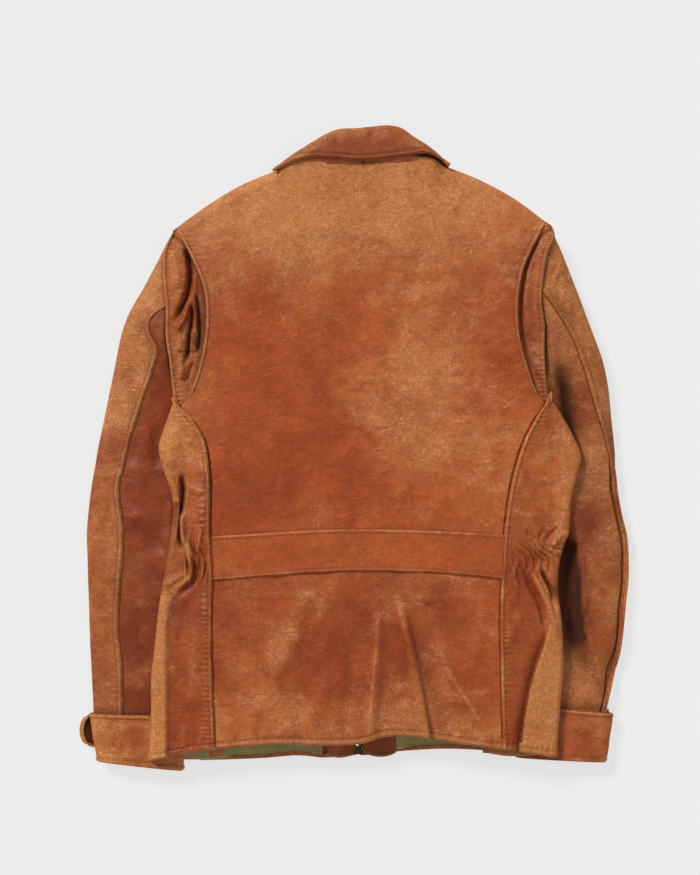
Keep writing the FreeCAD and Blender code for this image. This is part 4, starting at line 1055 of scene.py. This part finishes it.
def makeSleeve(side):
    shape = SleeveShape(side)
    k, sign = shape.k, shape.sign
    seamTop = k["seam"][-1][1]
    bend = ("torso", f"sleeve_{side}", (sign * 0.2265, 0.062, 0), (sign * 0.2985, -0.062, 0))

    def finish(name, grid, wear, dirtAndShade, material, replaces):
        makeSheet(name, grid, f"sleeve_{side}", material, sleeve["thickness"], wear, dirtAndShade, replaces,
                  bend)

    # outer panel, from the back seam or the armhole round the outer edge
    us, ys = shares(sleeve["outerColumns"], 0.5), spread(k["end"], k["top"], sleeve["outerRows"], 0.2)
    y = np.repeat(ys[:, None], len(us), axis=1)
    start = np.where(ys > seamTop, across(k["armhole"], ys) - sign * 4, across(k["seam"], ys))
    first = shape.angle(start, ys)
    last = -math.radians(100) - math.radians(50) * step(60, 110, ys)
    angle = first[:, None] + (last - first)[:, None] * us[None, :]
    grid = shape.points(angle, y)
    d, rest = lengths(grid, 1)
    below = step(seamTop + 2, seamTop - 4, y)
    shown = below * (step(-150, -95, y) if sign > 0 else 1)
    grid[..., 2] += shown * (edgeRoll(d, 5.4, 1.5, 0.8) + pucker(d, y, 7.0, 0.6, 6.5, 41)) - (1 - below) * 1.6
    x = grid[..., 0]
    wear = (0.35 + 0.3 * noise(x, y, 24, 29)) * shown * bell(d - 1, 2.0) + 0.36 + 0.35 * step(-60, 200, y)
    wear += 0.25 * noise(x, y, 50, 8) + 0.35 * bell(d - 35, 25) * bell(y - 130, 110)
    # painted shade under the pleat's armhole edge and just above the cuff's top edge
    dirtAndShade = shown * 0.3 * bell(d - 6.2, 0.8) + (1 - below) * 0.8 * bell(d - 4, 3) + 0.6 * bell(y - k["end"] - 8, 6)
    threads = [lineOn(grid[:int((ys < seamTop - 6).sum())], "left", n) for n in sleeve["stitchInsets"]]
    grid, wear, dirtAndShade = turnEdges(grid, wear, dirtAndShade, [("left", *sleeve["turn"])])
    grid[..., 2] = np.maximum(grid[..., 2], 0.4)
    if sign < 0:
        grid, wear, dirtAndShade, threads = turnRound(grid, wear, dirtAndShade, threads)
    finish(f"outerSleeve.{side}", grid, wear, dirtAndShade, sleeveLeather, (f"sleeve_outer_{side}",))
    makeStitches(f"sleeveStitches.{side}", threads, f"sleeve_{side}", threadCloth, bend)

    # under panel, from beneath the seam inwards; above the underarm it ends at the armhole
    us, ys = shares(sleeve["underColumns"], 0.4), spread(k["end"], seamTop + 3, sleeve["underRows"], 0.2)
    y = np.repeat(ys[:, None], len(us), axis=1)
    first = shape.angle(across(k["seam"], ys) + sign * 8, ys)
    atArmhole = shape.angle(across(k["armhole"], ys) - sign * 4, ys)
    free = step(76, 36, ys)
    last = np.maximum(atArmhole + (math.radians(260) - atArmhole) * free, first + 0.02)
    # the rows keep their spacing near the seam while they reach further round the arm
    angle = first[:, None] + (last - first)[:, None] * us[None, :] ** (1 + 1.2 * free[:, None])
    grid = shape.points(angle, y)
    d, rest = lengths(grid, 1)
    grid[..., 2] -= 2.3 * step(10, 7, d) * step(-0.2, 0.3, np.sin(angle)) + 1.6 * step(8, 4, rest) * step(76, 92, y)
    x = grid[..., 0]
    wear = 0.35 * noise(x, y, 45, 18) + 0.3 * step(60, 160, y) + (0.1 if sign < 0 else 0.6)
    # painted shade: a dark line where the outer panel's seam edge lies over this panel, and darkening under the armhole
    # edge and above the cuff
    dirtAndShade = 1.3 * bell(d - 9.2, 1.5) + 0.9 * bell(rest - 5, 4) * step(76, 92, y) + 0.6 * bell(y - k["end"] - 8, 6)
    # painted shade inside the deeper folds
    for points, height, a, b in k["folds"]:
        if height < -2.9:
            dirtAndShade += (0.11 if height < -10 else 0.07) * -fold(x, y, points, height, a + 1, b + 1, 0.3)
    # painted shade in the hollow between the sleeve and the side panel
    dirtAndShade += (1.2 if sign > 0 else 0.7) * shape.inHollow(x, y)
    if sign > 0:
        grid, wear, dirtAndShade = turnRound(grid, wear, dirtAndShade, [])[:3]
    finish(f"underSleeve.{side}", grid, wear, dirtAndShade, underSleeveLeather, (f"sleeve_under_{side}",))

    # lining
    us, ys = np.linspace(0, 1, sleeve["liningColumns"]), np.linspace(k["end"] - 20, 225, sleeve["liningRows"])
    y = np.repeat(ys[:, None], len(us), axis=1)
    outer, inner, high, low = (v[:, None] for v in shape.section(np.maximum(ys, k["end"])))
    a = math.radians(-100) + 2 * math.pi * us[None, :]
    middle, half = (outer + inner) / 2, np.maximum((outer - inner) / 2 - 4.5, 3)
    high = low + 9
    x = sign * (middle + half * np.sign(np.cos(a)) * np.abs(np.cos(a)) ** 0.8)
    z = (high + low) / 2 + np.maximum((high - low) / 2 - 4.5, 2) * np.sign(np.sin(a)) * np.abs(np.sin(a)) ** 0.8
    z += 0.8 * noise(x, y, 20, 55)
    grid = np.dstack([x, y, z])
    grid = grid if sign < 0 else grid[:, ::-1]
    makeSheet(f"sleeveLining.{side}", grid, f"sleeve_{side}", liningCloth,
              sleeve["liningThickness"], 0, 0, (f"sleeve_lining_{side}",), bend)


cuff = {
    "rows": 46, "columns": 150, "height": 60, "middle": 15.2, "half": 11.6, "thickness": 1.0, "stitchInset": 4.2,
    "left": {"inner": (-209, -323, -387), "outer": (-323, -320, -376), "lowIn": -210, "lowOut": -314, "wear": 0.5},
    "right": {"inner": (196, -309, -371), "outer": (306, -320, -377), "lowIn": 189, "lowOut": 298, "wear": -0.1},
}


def makeCuff(side):
    k, sign = cuff[side], -1 if side == "left" else 1
    # v from the lower edge to the upper one; shrink goes inwards through the band
    body = [(v, 0.0) for v in shares(cuff["rows"], 0.7)]
    top = [(1.012, 0.3), (1.018, 1.1), (1.012, 2.0), (1.0, 2.3), (0.85, 2.5)]
    low = [(0.55, 2.6), (0.1, 2.5), (0.0, 2.3), (-0.012, 2.0), (-0.018, 1.1), (-0.012, 0.3)]
    rows = low + body + top
    us = np.linspace(0, 1, cuff["columns"])
    angle = -math.radians(95) + 2 * math.pi * us[None, :]
    v, shrink = (np.array([r[i] for r in rows])[:, None] for i in (0, 1))
    c, s = np.cos(angle), np.sin(angle)
    inner = np.abs(k["lowIn"] + v * (k["inner"][0] - k["lowIn"])) + shrink
    outer = np.abs(k["lowOut"] + v * (k["outer"][0] - k["lowOut"])) - shrink
    sideways = np.sign(c) * np.abs(c) ** 0.75
    share = (sideways + 1) / 2
    x = sign * ((outer + inner) / 2 + (outer - inner) / 2 * sideways)
    y = (k["inner"][2] + v * (k["inner"][1] - k["inner"][2])) * (1 - share) \
        + (k["outer"][2] + v * (k["outer"][1] - k["outer"][2])) * share
    z = cuff["middle"] + (cuff["half"] - shrink) * np.sign(s) * np.abs(s) ** 0.75
    height, full = v * cuff["height"], cuff["height"]
    relief = edgeRoll(height, 4.5, 0.5, 0.6) + edgeRoll(full - height, 4.5, 0.5, 0.6) + 0 * x
    relief += creases(x, y, 121 + sign, 0.6) + 1.3 * noise(x, y, 26, 123)
    relief += fold(x, y, [(sign * 290, -335), (sign * 262, -338), (sign * 230, -332)], 0.9, 7, 7)
    relief = relief * (shrink < 0.1)
    z = z + relief * np.sign(s) * np.abs(s) ** 0.6
    x = x + sign * relief * c * np.abs(c) ** 2
    grid = np.dstack([x, y, z])
    wear = 0.6 * bell(height - full, 2.0) + 0.6 * bell(height, 2.0) + 0.55 * noise(x, y, 22, 125) + k["wear"]
    # painted shade on the rows turned inside the band at both rims
    dirtAndShade = 0.3 * (bell(height - 55, 1.2) + bell(height - 5, 1.2)) + 0.7 * (shrink > 1.5)
    bodyRows = grid[len(low):-len(top)]
    threads = [lineOn(bodyRows[:, 8:-8], edge, cuff["stitchInset"]) for edge in ("bottom", "top")]
    if sign > 0:
        grid, wear, dirtAndShade, threads = turnRound(grid, wear, dirtAndShade, threads)
    makeSheet(f"cuff.{side}", grid, f"sleeve_{side}", cuffLeather, cuff["thickness"], wear, dirtAndShade,
              (f"cuff_{side}",))
    makeStitches(f"cuffStitches.{side}", threads, f"sleeve_{side}", threadCloth)


for side in ("left", "right"):
    makeSleeve(side)
    makeCuff(side)
print("sleeves and cuffs ready")


# Pieces that lie nearly flat: four outlines, a level and a stitched rim.
def flatPiece(name, outline, level, body, material, replaces=(), down=False, mirror=False, size=(60, 60),
              rim=(4.0, 0.4, 0.5), rims=(), turned=(), thickness=1.2, ripple=0.4, wear=0.3, dirtAndShade=0.0, thread=False,
              seed=200):
    us, vs = shares(size[0], 0.5), shares(size[1], 0.5)
    left, right = along(outline["left"], vs), along(outline["right"], vs)
    bottom = fitTo(along(outline["bottom"], us), left[0], right[0])
    top = fitTo(along(outline["top"], us), left[-1], right[-1])
    xy = between(bottom, top, left, right, us, vs)
    x, y = xy[..., 0], xy[..., 1]
    (dl, dr), (db, dt) = lengths(xy, 1), lengths(xy, 0)
    fromSide = {"left": dl, "right": dr, "bottom": db, "top": dt}
    bulge = creases(x, y, seed, ripple)
    worn, soiledAndShaded = wear * (0.5 + 0.5 * noise(x, y, 30, seed)), dirtAndShade + 0 * x
    for side in rims:
        d = fromSide[side]
        run = y if side in ("left", "right") else x
        bulge += edgeRoll(d, *rim) + pucker(d, run, rim[0], rim[2] * 0.4, 6.0, seed)
        worn, soiledAndShaded = worn + 0.7 * bell(d, 2.5), soiledAndShaded + 0.4 * bell(d - rim[0] - 1, 1.3)
    z = (level(x, y) if callable(level) else level) + (-bulge if down else bulge)
    grid = np.dstack([xy, z])
    threads = [lineOn(grid, side, rim[0] - 0.4) for side in rims] if thread else []
    for side in turned:
        if down:
            grid[..., 2] *= -1
        grid = turnUnder(grid, side, 1.1, 4)
        if down:
            grid[..., 2] *= -1
        worn, soiledAndShaded = padTo(worn, grid, side), padTo(soiledAndShaded, grid, side)
    if down:
        grid[..., 2] = np.maximum(grid[..., 2], 0.4)
        grid, worn, soiledAndShaded, threads = turnRound(grid, worn, soiledAndShaded, threads)
    if mirror:
        grid = (grid * [-1, 1, 1])[:, ::-1]
        worn, soiledAndShaded = worn[:, ::-1], soiledAndShaded[:, ::-1]
        threads = [t * [-1, 1, 1, -1, 1, 1] for t in threads]
    makeSheet(name, grid, body, material, thickness, worn, soiledAndShaded, replaces)
    if threads:
        makeStitches(name + "Stitches", threads, body, threadCloth)


leafLower = [(-99, 330), (-88, 336), (-76, 341), (-60, 345), (-31, 345), (7, 343), (38, 346), (62, 349), (82, 350),
             (97, 344), (108, 335)]
leafUpper = [(-101, 331), (-89, 341), (-58, 361), (-40, 372), (-26, 378), (0, 380), (19, 382), (38, 383), (49, 381),
             (66, 370), (86, 357), (99, 346), (109, 336)]

leaf = {
    "columns": 180, "rows": 48, "level": 47.6, "edgeRadius": 0.9, "foldRadius": 4.5, "thickness": 1.2,
    "stitchInset": 3.6, "turn": (1.3, 4),
    # two bodies and two heights for a bend that is not made: given as blend, they only keep the leaf and its stitches
    # in place instead of hung on a body
    "bend": ("torso", "collar_leaf", (0, 0, 0.0405), (0, 0, 0.0445)),
    "underThickness": 1.0, "underDrop": 2.8,
    "folds": [
        ([(-20, 384), (-24, 368), (-26, 352)], -0.8, 4, 5), ([(20, 386), (16, 372), (14, 355)], -0.8, 5, 4),
        ([(40, 386), (36, 372), (30, 360)], 0.8, 5, 5), ([(-48, 368), (-52, 360), (-56, 352)], -0.7, 4, 5),
        ([(60, 376), (64, 366), (70, 358)], -0.7, 5, 5),
    ],
}


def makeLeaf():
    k = leaf
    us, vs = shares(k["columns"], 0.5), shares(k["rows"], 0.5)
    lower, outline = along(leafLower, us), along(leafUpper, us)
    out = outwards(outline)
    ends = np.minimum(us, 1 - us)
    radius = k["edgeRadius"] + (k["foldRadius"] - k["edgeRadius"]) * step(0, 0.16, ends)
    inset = outline - out * radius[:, None]
    xy = between(lower, inset, along([lower[0], inset[0]], vs), along([lower[-1], inset[-1]], vs), us, vs)
    x, y = xy[..., 0], xy[..., 1]
    db, dt = lengths(xy, 0)
    z = k["level"] - 7 * step(0.13, 0, ends)[None, :] + creases(x, y, 141, 0.35)
    z += 1.4 * step(0, 0.2, vs)[:, None] - 1.2 * step(0.5, 1, vs)[:, None]
    z += edgeRoll(db, 3.2, 1.0, 0.8) + pucker(db, x, 4.4, 0.3, 5.5, 23)
    z = addFolds(z, x, y, k["folds"])
    grid = np.dstack([xy, z])
    wear = 0.5 * bell(db, 2.0) + 0.55 * bell(dt, 6) + 0.25 * noise(x, y, 22, 24) + 0.5 * step(0.1, 0.0, ends)[None, :]
    dirtAndShade = 0.4 * bell(db - 6.0, 1.3) + 0.25 * bell(db - 12, 8)
    threads = [lineOn(grid, "bottom", k["stitchInset"])[9:-9]]
    under = grid[4:] - [0, 0, k["underDrop"]]
    rows = []
    for a in np.linspace(0, math.pi, 11)[1:]:
        p = grid[-1].copy()
        p[:, :2] += out * (radius * math.sin(a))[:, None]
        p[:, 2] -= radius * (1 - math.cos(a))
        rows.append(p)
    grid = np.concatenate([grid] + [r[None] for r in rows])
    wear, dirtAndShade = (padTo(m, grid, "top") for m in (wear, dirtAndShade))
    grid, wear, dirtAndShade = turnEdges(grid, wear, dirtAndShade, [("bottom", *k["turn"])])
    makeSheet("collarLeaf", grid, "collar_leaf", collarLeather, k["thickness"], wear, dirtAndShade,
              ("collar_leaf",), k["bend"])
    makeSheet("underLeaf", under, "collar_leaf", innerLeather, k["underThickness"], 0.1, 0,
              ("collar_underleaf",))
    makeStitches("leafStitches", threads, "collar_leaf", threadCloth, k["bend"])


stand = {
    "columns": 90, "rows": 34, "wallRows": 14, "level": 42.4, "thickness": 1.1, "foot": 6.5,
    "left": {"neck": [(6.6, 337.5), (-47, 337.5), (-77, 340), (-97, 331)],
             "end": [(-97, 330), (-86, 338), (-57, 357), (-38, 370)], "seamDip": 1.6},
    "right": {"neck": [(6.0, 337.5), (53, 339.5), (83, 342), (107, 336)],
              "end": [(105, 335), (95, 344), (81, 354), (62, 367), (46, 377)], "seamDip": 0.8},
    "front": {"bottom": [(9, 265.5), (60, 286.5), (103, 334)], "top": [(9, 302), (44, 330), (40, 378)],
              "left": [(9, 265.5), (9, 302)], "right": [(103, 334), (72, 358), (40, 378)]},
    "point": {"bottom": [(11, 298), (45, 258), (76, 226)], "top": [(36, 364), (64, 350), (94, 331)],
              "left": [(11, 298), (34, 330), (36, 364)], "right": [(76, 226), (96, 285), (94, 331)]},
}


def makeStand(side):
    k, sign = stand[side], -1 if side == "left" else 1
    us, vs = shares(stand["columns"], 0.3), shares(stand["rows"], 0.4)
    bottom, outer, middle = along(k["neck"], us), along(k["end"], vs), (k["neck"][0][0], 378)
    xy = between(bottom, along([middle, tuple(outer[-1])], us), along([k["neck"][0], middle], vs), outer, us, vs)
    x, y = xy[..., 0], xy[..., 1]
    (di, do), db = lengths(xy, 1), lengths(xy, 0)[0]
    z = stand["level"] + 1.8 * step(2, 7, db) - 7 * step(38, 14, do) + creases(x, y, 151, 0.25)
    z -= k["seamDip"] * step(2.5, 0, di)
    grid = np.dstack([xy, z])
    wear = 0.5 * bell(di, 3) + 0.3 + 0.2 * noise(x, y, 15, 3)
    # painted shadow under the collar leaf towards the stand's ends
    dirtAndShade = 0.7 * bell(db - 1.5, 1.3) + 1.3 * step(40, 22, do) + 1.2 * bell(di, 1.4)
    columns = []
    for t in np.linspace(0, 1, stand["wallRows"])[1:]:  # the wall down to the fronts
        p = grid[:, -1].copy()
        p[:, 0] += sign * 1.5 * math.sin(min(t * 4, 1) * math.pi / 2)
        p[:, 2] += (stand["foot"] - p[:, 2]) * t
        columns.append(p)
    grid = np.concatenate([grid] + [c[:, None] for c in columns], axis=1)
    wear, dirtAndShade = (padTo(m, grid, "right") for m in (wear, dirtAndShade))
    if sign < 0:
        grid, wear, dirtAndShade = turnRound(grid, wear, dirtAndShade, [])[:3]
    makeSheet(f"collarStand.{side}", grid, "torso", collarLeather, stand["thickness"], wear, dirtAndShade,
              (f"collar_stand_back_{side}",))
    mirror = side == "left"
    flatPiece(f"standFront.{side}", stand["front"], 4.4, "torso", innerLeather,
              (f"collar_stand_front_{side}",), True, mirror, (50, 40), rims=("bottom",), seed=160)
    flatPiece(f"collarPoint.{side}", stand["point"], 0.9, f"collar_point_{side}", collarLeather,
              (f"collar_point_{side}",), True, mirror, (60, 90), (4.6, 0.5, 0.6), ("bottom", "right"),
              ("bottom", "right"), 1.4, thread=True, seed=170)


makeLeaf()
for side in ("left", "right"):
    makeStand(side)
print("collar ready")

# A front's outlines run as on the right side; the left ones are given the same way and mirrored.
front = {
    "left": {"bottom": [(7, -371), (44, -373), (72, -371), (111, -374), (190, -377)],
             "top": [(7, 262), (60, 287), (96, 328), (142, 306), (180, 283), (216, 257)],
             "left": [(7, -371), (7, 262)],
             "right": [(190, -377), (168, -345), (153, -300), (150, -100), (150, 57), (161, 95), (173, 150), (184, 205),
                       (216, 257)]},
    "right": {"bottom": [(7, -368), (47, -366), (97, -363), (175, -366)],
              "top": [(7, 262), (60, 287), (104, 331), (147, 313), (190, 289), (222, 264)],
              "left": [(7, -368), (7, 262)],
              "right": [(175, -366), (164, -345), (153, -300), (150, -100), (150, 57), (161, 95), (173, 150),
                        (186, 205), (222, 264)]},
    "liningEnd": {"left": [(190, -373), (224, -366)], "right": [(190, -364), (224, -364)]},
    "liningTop": [(46, 250), (64, 280), (98, 318), (145, 300), (203, 250)],
    "liningSide": [(218, -250), (205, -160), (203, -100), (208, -50), (206, 10), (192, 44), (162, 80), (160, 100),
                   (170, 150), (180, 205), (203, 250)],
    "facing": {"left": (-372, 37), "right": (-370, 46)},  # lowest edge and width
    "tape": {"bottom": [(2.7, -371), (17, -371)], "top": [(2.7, 262), (17, 262)], "left": [(2.7, -371), (2.7, 262)],
             "right": [(17, -371), (17, 262)]},
    "welt": {"bottom": [(75, -262), (94, -267)], "top": [(102, -123), (121, -128)], "left": [(75, -262), (102, -123)],
             "right": [(94, -267), (121, -128)]},
    "bag": {"bottom": [(64, -300), (100, -304), (142, -296)], "top": [(80, -112), (142, -112)],
            "left": [(64, -300), (64, -200), (80, -112)], "right": [(142, -296), (142, -112)]},
    "elasticEnd": {"left": 209, "right": 226},
}


def frontLevel(x, y):
    lifted = np.maximum(step(56, 40, np.abs(x)), step(188, 206, y))
    return 0.9 + 3.6 * lifted


def liningLevel(x, y):
    raised = np.maximum(step(60, 46, np.abs(x)), step(184, 202, y))
    return 3.6 + 24.4 * step(150, 183, np.abs(x)) * step(66, 40, y) + 3.6 * raised + 0.5 * noise(x, y, 60, 182)


def makeFront(side):
    mirror, outline = side == "left", front[side]
    flatPiece(f"frontPanel.{side}", outline, frontLevel, "torso", innerLeather,
              (f"front_panel_{side}",), True, mirror, (90, 160), (7.0, 0.4, 0.6), ("left", "bottom"),
              ("bottom",), 1.3, 0.5, thread=True, seed=180)
    lower = [(x, y + 2) for x, y in outline["bottom"][1:-1]] + front["liningEnd"][side]
    lower = [(46, lower[0][1])] + lower
    inside = {"bottom": lower, "top": front["liningTop"], "left": [lower[0], (46, 250)],
              "right": [lower[-1]] + front["liningSide"]}
    flatPiece(f"frontLining.{side}", inside, liningLevel, "torso", liningCloth,
              (f"front_lining_{side}",), False, mirror, (90, 160), (2.5, 0.2, 0.3), ("bottom",), (), 0.5, 0.5,
              0, 0, seed=185)
    low, wide = front["facing"][side]
    facing = {"bottom": [(3.5, low + 8), (6, low + 2), (13, low - 1), (wide - 6, low - 1), (wide, low + 2)],
              "top": [(7, 257), (wide + 4, 266)], "left": [(3.5, low + 8), (4.5, -361), (6.6, -356), (7, 257)],
              "right": [(wide, low + 2), (wide, -300), (wide + 4, 0), (wide + 4, 266)]}
    flatPiece(f"frontFacing.{side}", facing, 8.3, "torso", sleeveLeather,
              (f"front_facing_{side}",), False, mirror, (44, 190), (3.4, 0.4, 0.5), ("left", "bottom"), (), 1.0,
              thread=True, seed=190)
    flatPiece(f"zipTape.{side}", front["tape"], 6.5, "torso", tapeCloth, (f"zip_tape_{side}",), True,
              mirror, (12, 150), (1.5, 0.1, 0.1), (), (), 0.7, 0.05, 0, 0, seed=195)
    flatPiece(f"pocketWelt.{side}", front["welt"], 0.2, "torso", collarLeather,
              (f"pocket_welt_{side}",), True, mirror, (26, 90), (3.0, 0.5, 0.5), ("left", "right"), ("left", "right"),
              0.8, 0.2, thread=True, seed=196)
    flatPiece(f"pocketBag.{side}", front["bag"], 2.9, "torso", liningCloth, (f"pocket_bag_{side}",), False,
              mirror, (30, 50), thickness=0.4, ripple=0.2, wear=0, seed=197)
    far = front["elasticEnd"][side]
    band = {"bottom": [(185, -108), (far, -108)], "top": [(185, -90), (far, -90)], "left": [(185, -108), (185, -90)],
            "right": [(far, -108), (far, -90)]}
    flatPiece(f"waistElastic.{side}", band, lambda x, y: 31.6 + 0.7 * np.sin(x / 1.1), "torso",
              elasticCloth, (f"waist_elastic_{side}",), False, mirror, (90, 12), thickness=1.2, ripple=0.1, wear=0,
              seed=198)


backLining = {
    "outline": {"bottom": [(-168, -345), (-85, -341), (0, -341), (32, -335), (70, -335), (168, -346)],
                "top": [(-196, 238), (-135, 288), (-94, 314), (-20, 330), (9, 329), (84, 330), (100, 316), (146, 292),
                        (202, 246)],
                "left": [(-168, -345), (-172, -200), (-172, -60), (-182, 10), (-192, 60), (-182, 110), (-180, 190),
                         (-196, 238)],
                "right": [(168, -346), (167, -200), (170, -60), (182, 10), (192, 60), (186, 110), (190, 190),
                          (202, 246)]},
    "hangerLoop": {"bottom": [(-36, 312), (0, 308), (36, 312)], "top": [(-36, 320), (0, 316.5), (36, 320)],
                   "left": [(-36, 312), (-36, 320)], "right": [(36, 312), (36, 320)]},
}


def makeBackLining():
    flatPiece("backLining", backLining["outline"], lambda x, y: 37.6 + 0.9 * noise(x, y, 70, 211), "torso",
              liningCloth, ("back_lining",), True, False, (110, 140), (3.0, 0.2, 0.3), ("bottom",), (), 0.5, 0.5, 0, 0,
              seed=212)
    flatPiece("hangerLoop", backLining["hangerLoop"], lambda x, y: 35.0 - 1.2 * bell(x, 20), "torso",
              innerLeather, ("hanger_loop",), True, False, (60, 14), (1.6, 0.2, 0.3), ("bottom", "top"), (), 1.6, 0.1,
              seed=213)


for side in ("left", "right"):
    makeFront(side)
makeBackLining()
print("fronts and linings ready")


# root and end across the cuff, and the height of the middle line; the left tab's end is bent up a little
tab = {
    "half": 19, "corner": 13, "backing": (0.97, 0.93), "backingLift": 2.0,
    "left": (-286, -334, -341), "right": (303, 257, -336),
}


def tabLevel(side, x, y):
    bent = 4.2 * step(-318, -334, x) + 1.5 * step(-322, -334, x) * step(-350, -325, y)
    return 0.9 + bent if side == "left" else 0.9 + 0 * x


def makeTab(side):
    root, end, middle = tab[side]
    half, radius = tab["half"], tab["corner"]
    tip = [(end + radius, middle - half), (end + 4, middle - 15), (end, middle - 6), (end, middle + 6),
           (end + 4, middle + 15), (end + radius, middle + half)]
    rootSide = [(root, middle - half), (root, middle + half)]
    outline = {"left": tip, "right": rootSide, "bottom": [tip[0], rootSide[0]], "top": [tip[-1], rootSide[1]]}
    flatPiece(f"cuffTab.{side}", outline, lambda x, y: tabLevel(side, x, y), f"cuff_tab_{side}",
              cuffLeather, (f"cuff_tab_{side}",), True, False, (50, 50), (3.4, 0.4, 0.5), ("left", "top", "bottom"),
              ("left", "top", "bottom"), 0.9, 0.0, thread=True, seed=220)
    center, (shrinkX, shrinkY) = (root + end) / 2, tab["backing"]
    shrunk = {word: [((x - center) * shrinkX + center, (y - middle) * shrinkY + middle) for x, y in line]
              for word, line in outline.items()}
    flatPiece(f"tabBacking.{side}", shrunk, lambda x, y: tabLevel(side, x, y) + tab["backingLift"],
              f"cuff_tab_{side}", fleshSide, (), False, False, (40, 40), (1.5, 0.1, 0.1), (), (), 0.7,
              0.3, 0, 0.5, seed=221)


for side in ("left", "right"):
    makeTab(side)


for node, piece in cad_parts.items():
    if node.startswith(("zip_teeth", "zip_slider", "zip_pull", "zip_box", "zip_pin", "zip_stops", "snap_")):
        piece.data.materials.clear()
        piece.data.materials.append(snapBrass if node.startswith("snap_") else zipBrass)
print("tabs and metal ready")


stage = {
    "height": 2499, "middle": (-9.6, 12), "lens": 85, "floorSize": 8, "floorGlow": 0.69, "skyLight": 0.4,
    # direction, strength and softness in degrees
    "lights": {"keyLight": ((0.75, -0.9, -1.0), 2.7, 14), "fillLight": ((-0.6, 0.1, -1.0), 0.35, 60)},
}


def makeStage():
    bpy.ops.mesh.primitive_plane_add(size=stage["floorSize"], location=(0, 0, -0.0004))
    floor = bpy.context.object
    floor.name = "floor"
    material, _, shader = newMaterial("paleFloor")
    shader.inputs["Base Color"].default_value = (0.15, 0.15, 0.15, 1)
    shader.inputs["Emission Color"].default_value = (1, 1, 1, 1)
    shader.inputs["Emission Strength"].default_value = stage["floorGlow"]
    shader.inputs["Roughness"].default_value = 0.9
    shader.inputs["Specular IOR Level"].default_value = 0.1
    floor.data.materials.append(material)
    floor.select_set(False)
    world = bpy.data.worlds.new("studio")
    bpy.context.scene.world = world
    world.use_nodes = True
    world.node_tree.nodes["Background"].inputs[0].default_value = (1, 1, 1, 1)
    world.node_tree.nodes["Background"].inputs[1].default_value = stage["skyLight"]
    for name, (direction, strength, softness) in stage["lights"].items():
        bpy.ops.object.light_add(type="SUN", location=(0, 0, 2))
        light = bpy.context.object
        light.name = name
        light.data.energy, light.data.angle = strength, math.radians(softness)
        light.rotation_euler = Vector(direction).to_track_quat("-Z", "Y").to_euler()
        light.select_set(False)
    bpy.ops.object.camera_add(location=[v / 1000 for v in (*stage["middle"], stage["height"])])
    camera = bpy.context.object
    camera.data.lens, camera.data.sensor_width = stage["lens"], 36
    camera.data.clip_end = 20
    camera.select_set(False)
    bpy.context.scene.camera = camera
    bpy.context.scene.view_settings.view_transform = "Standard"


makeStage()
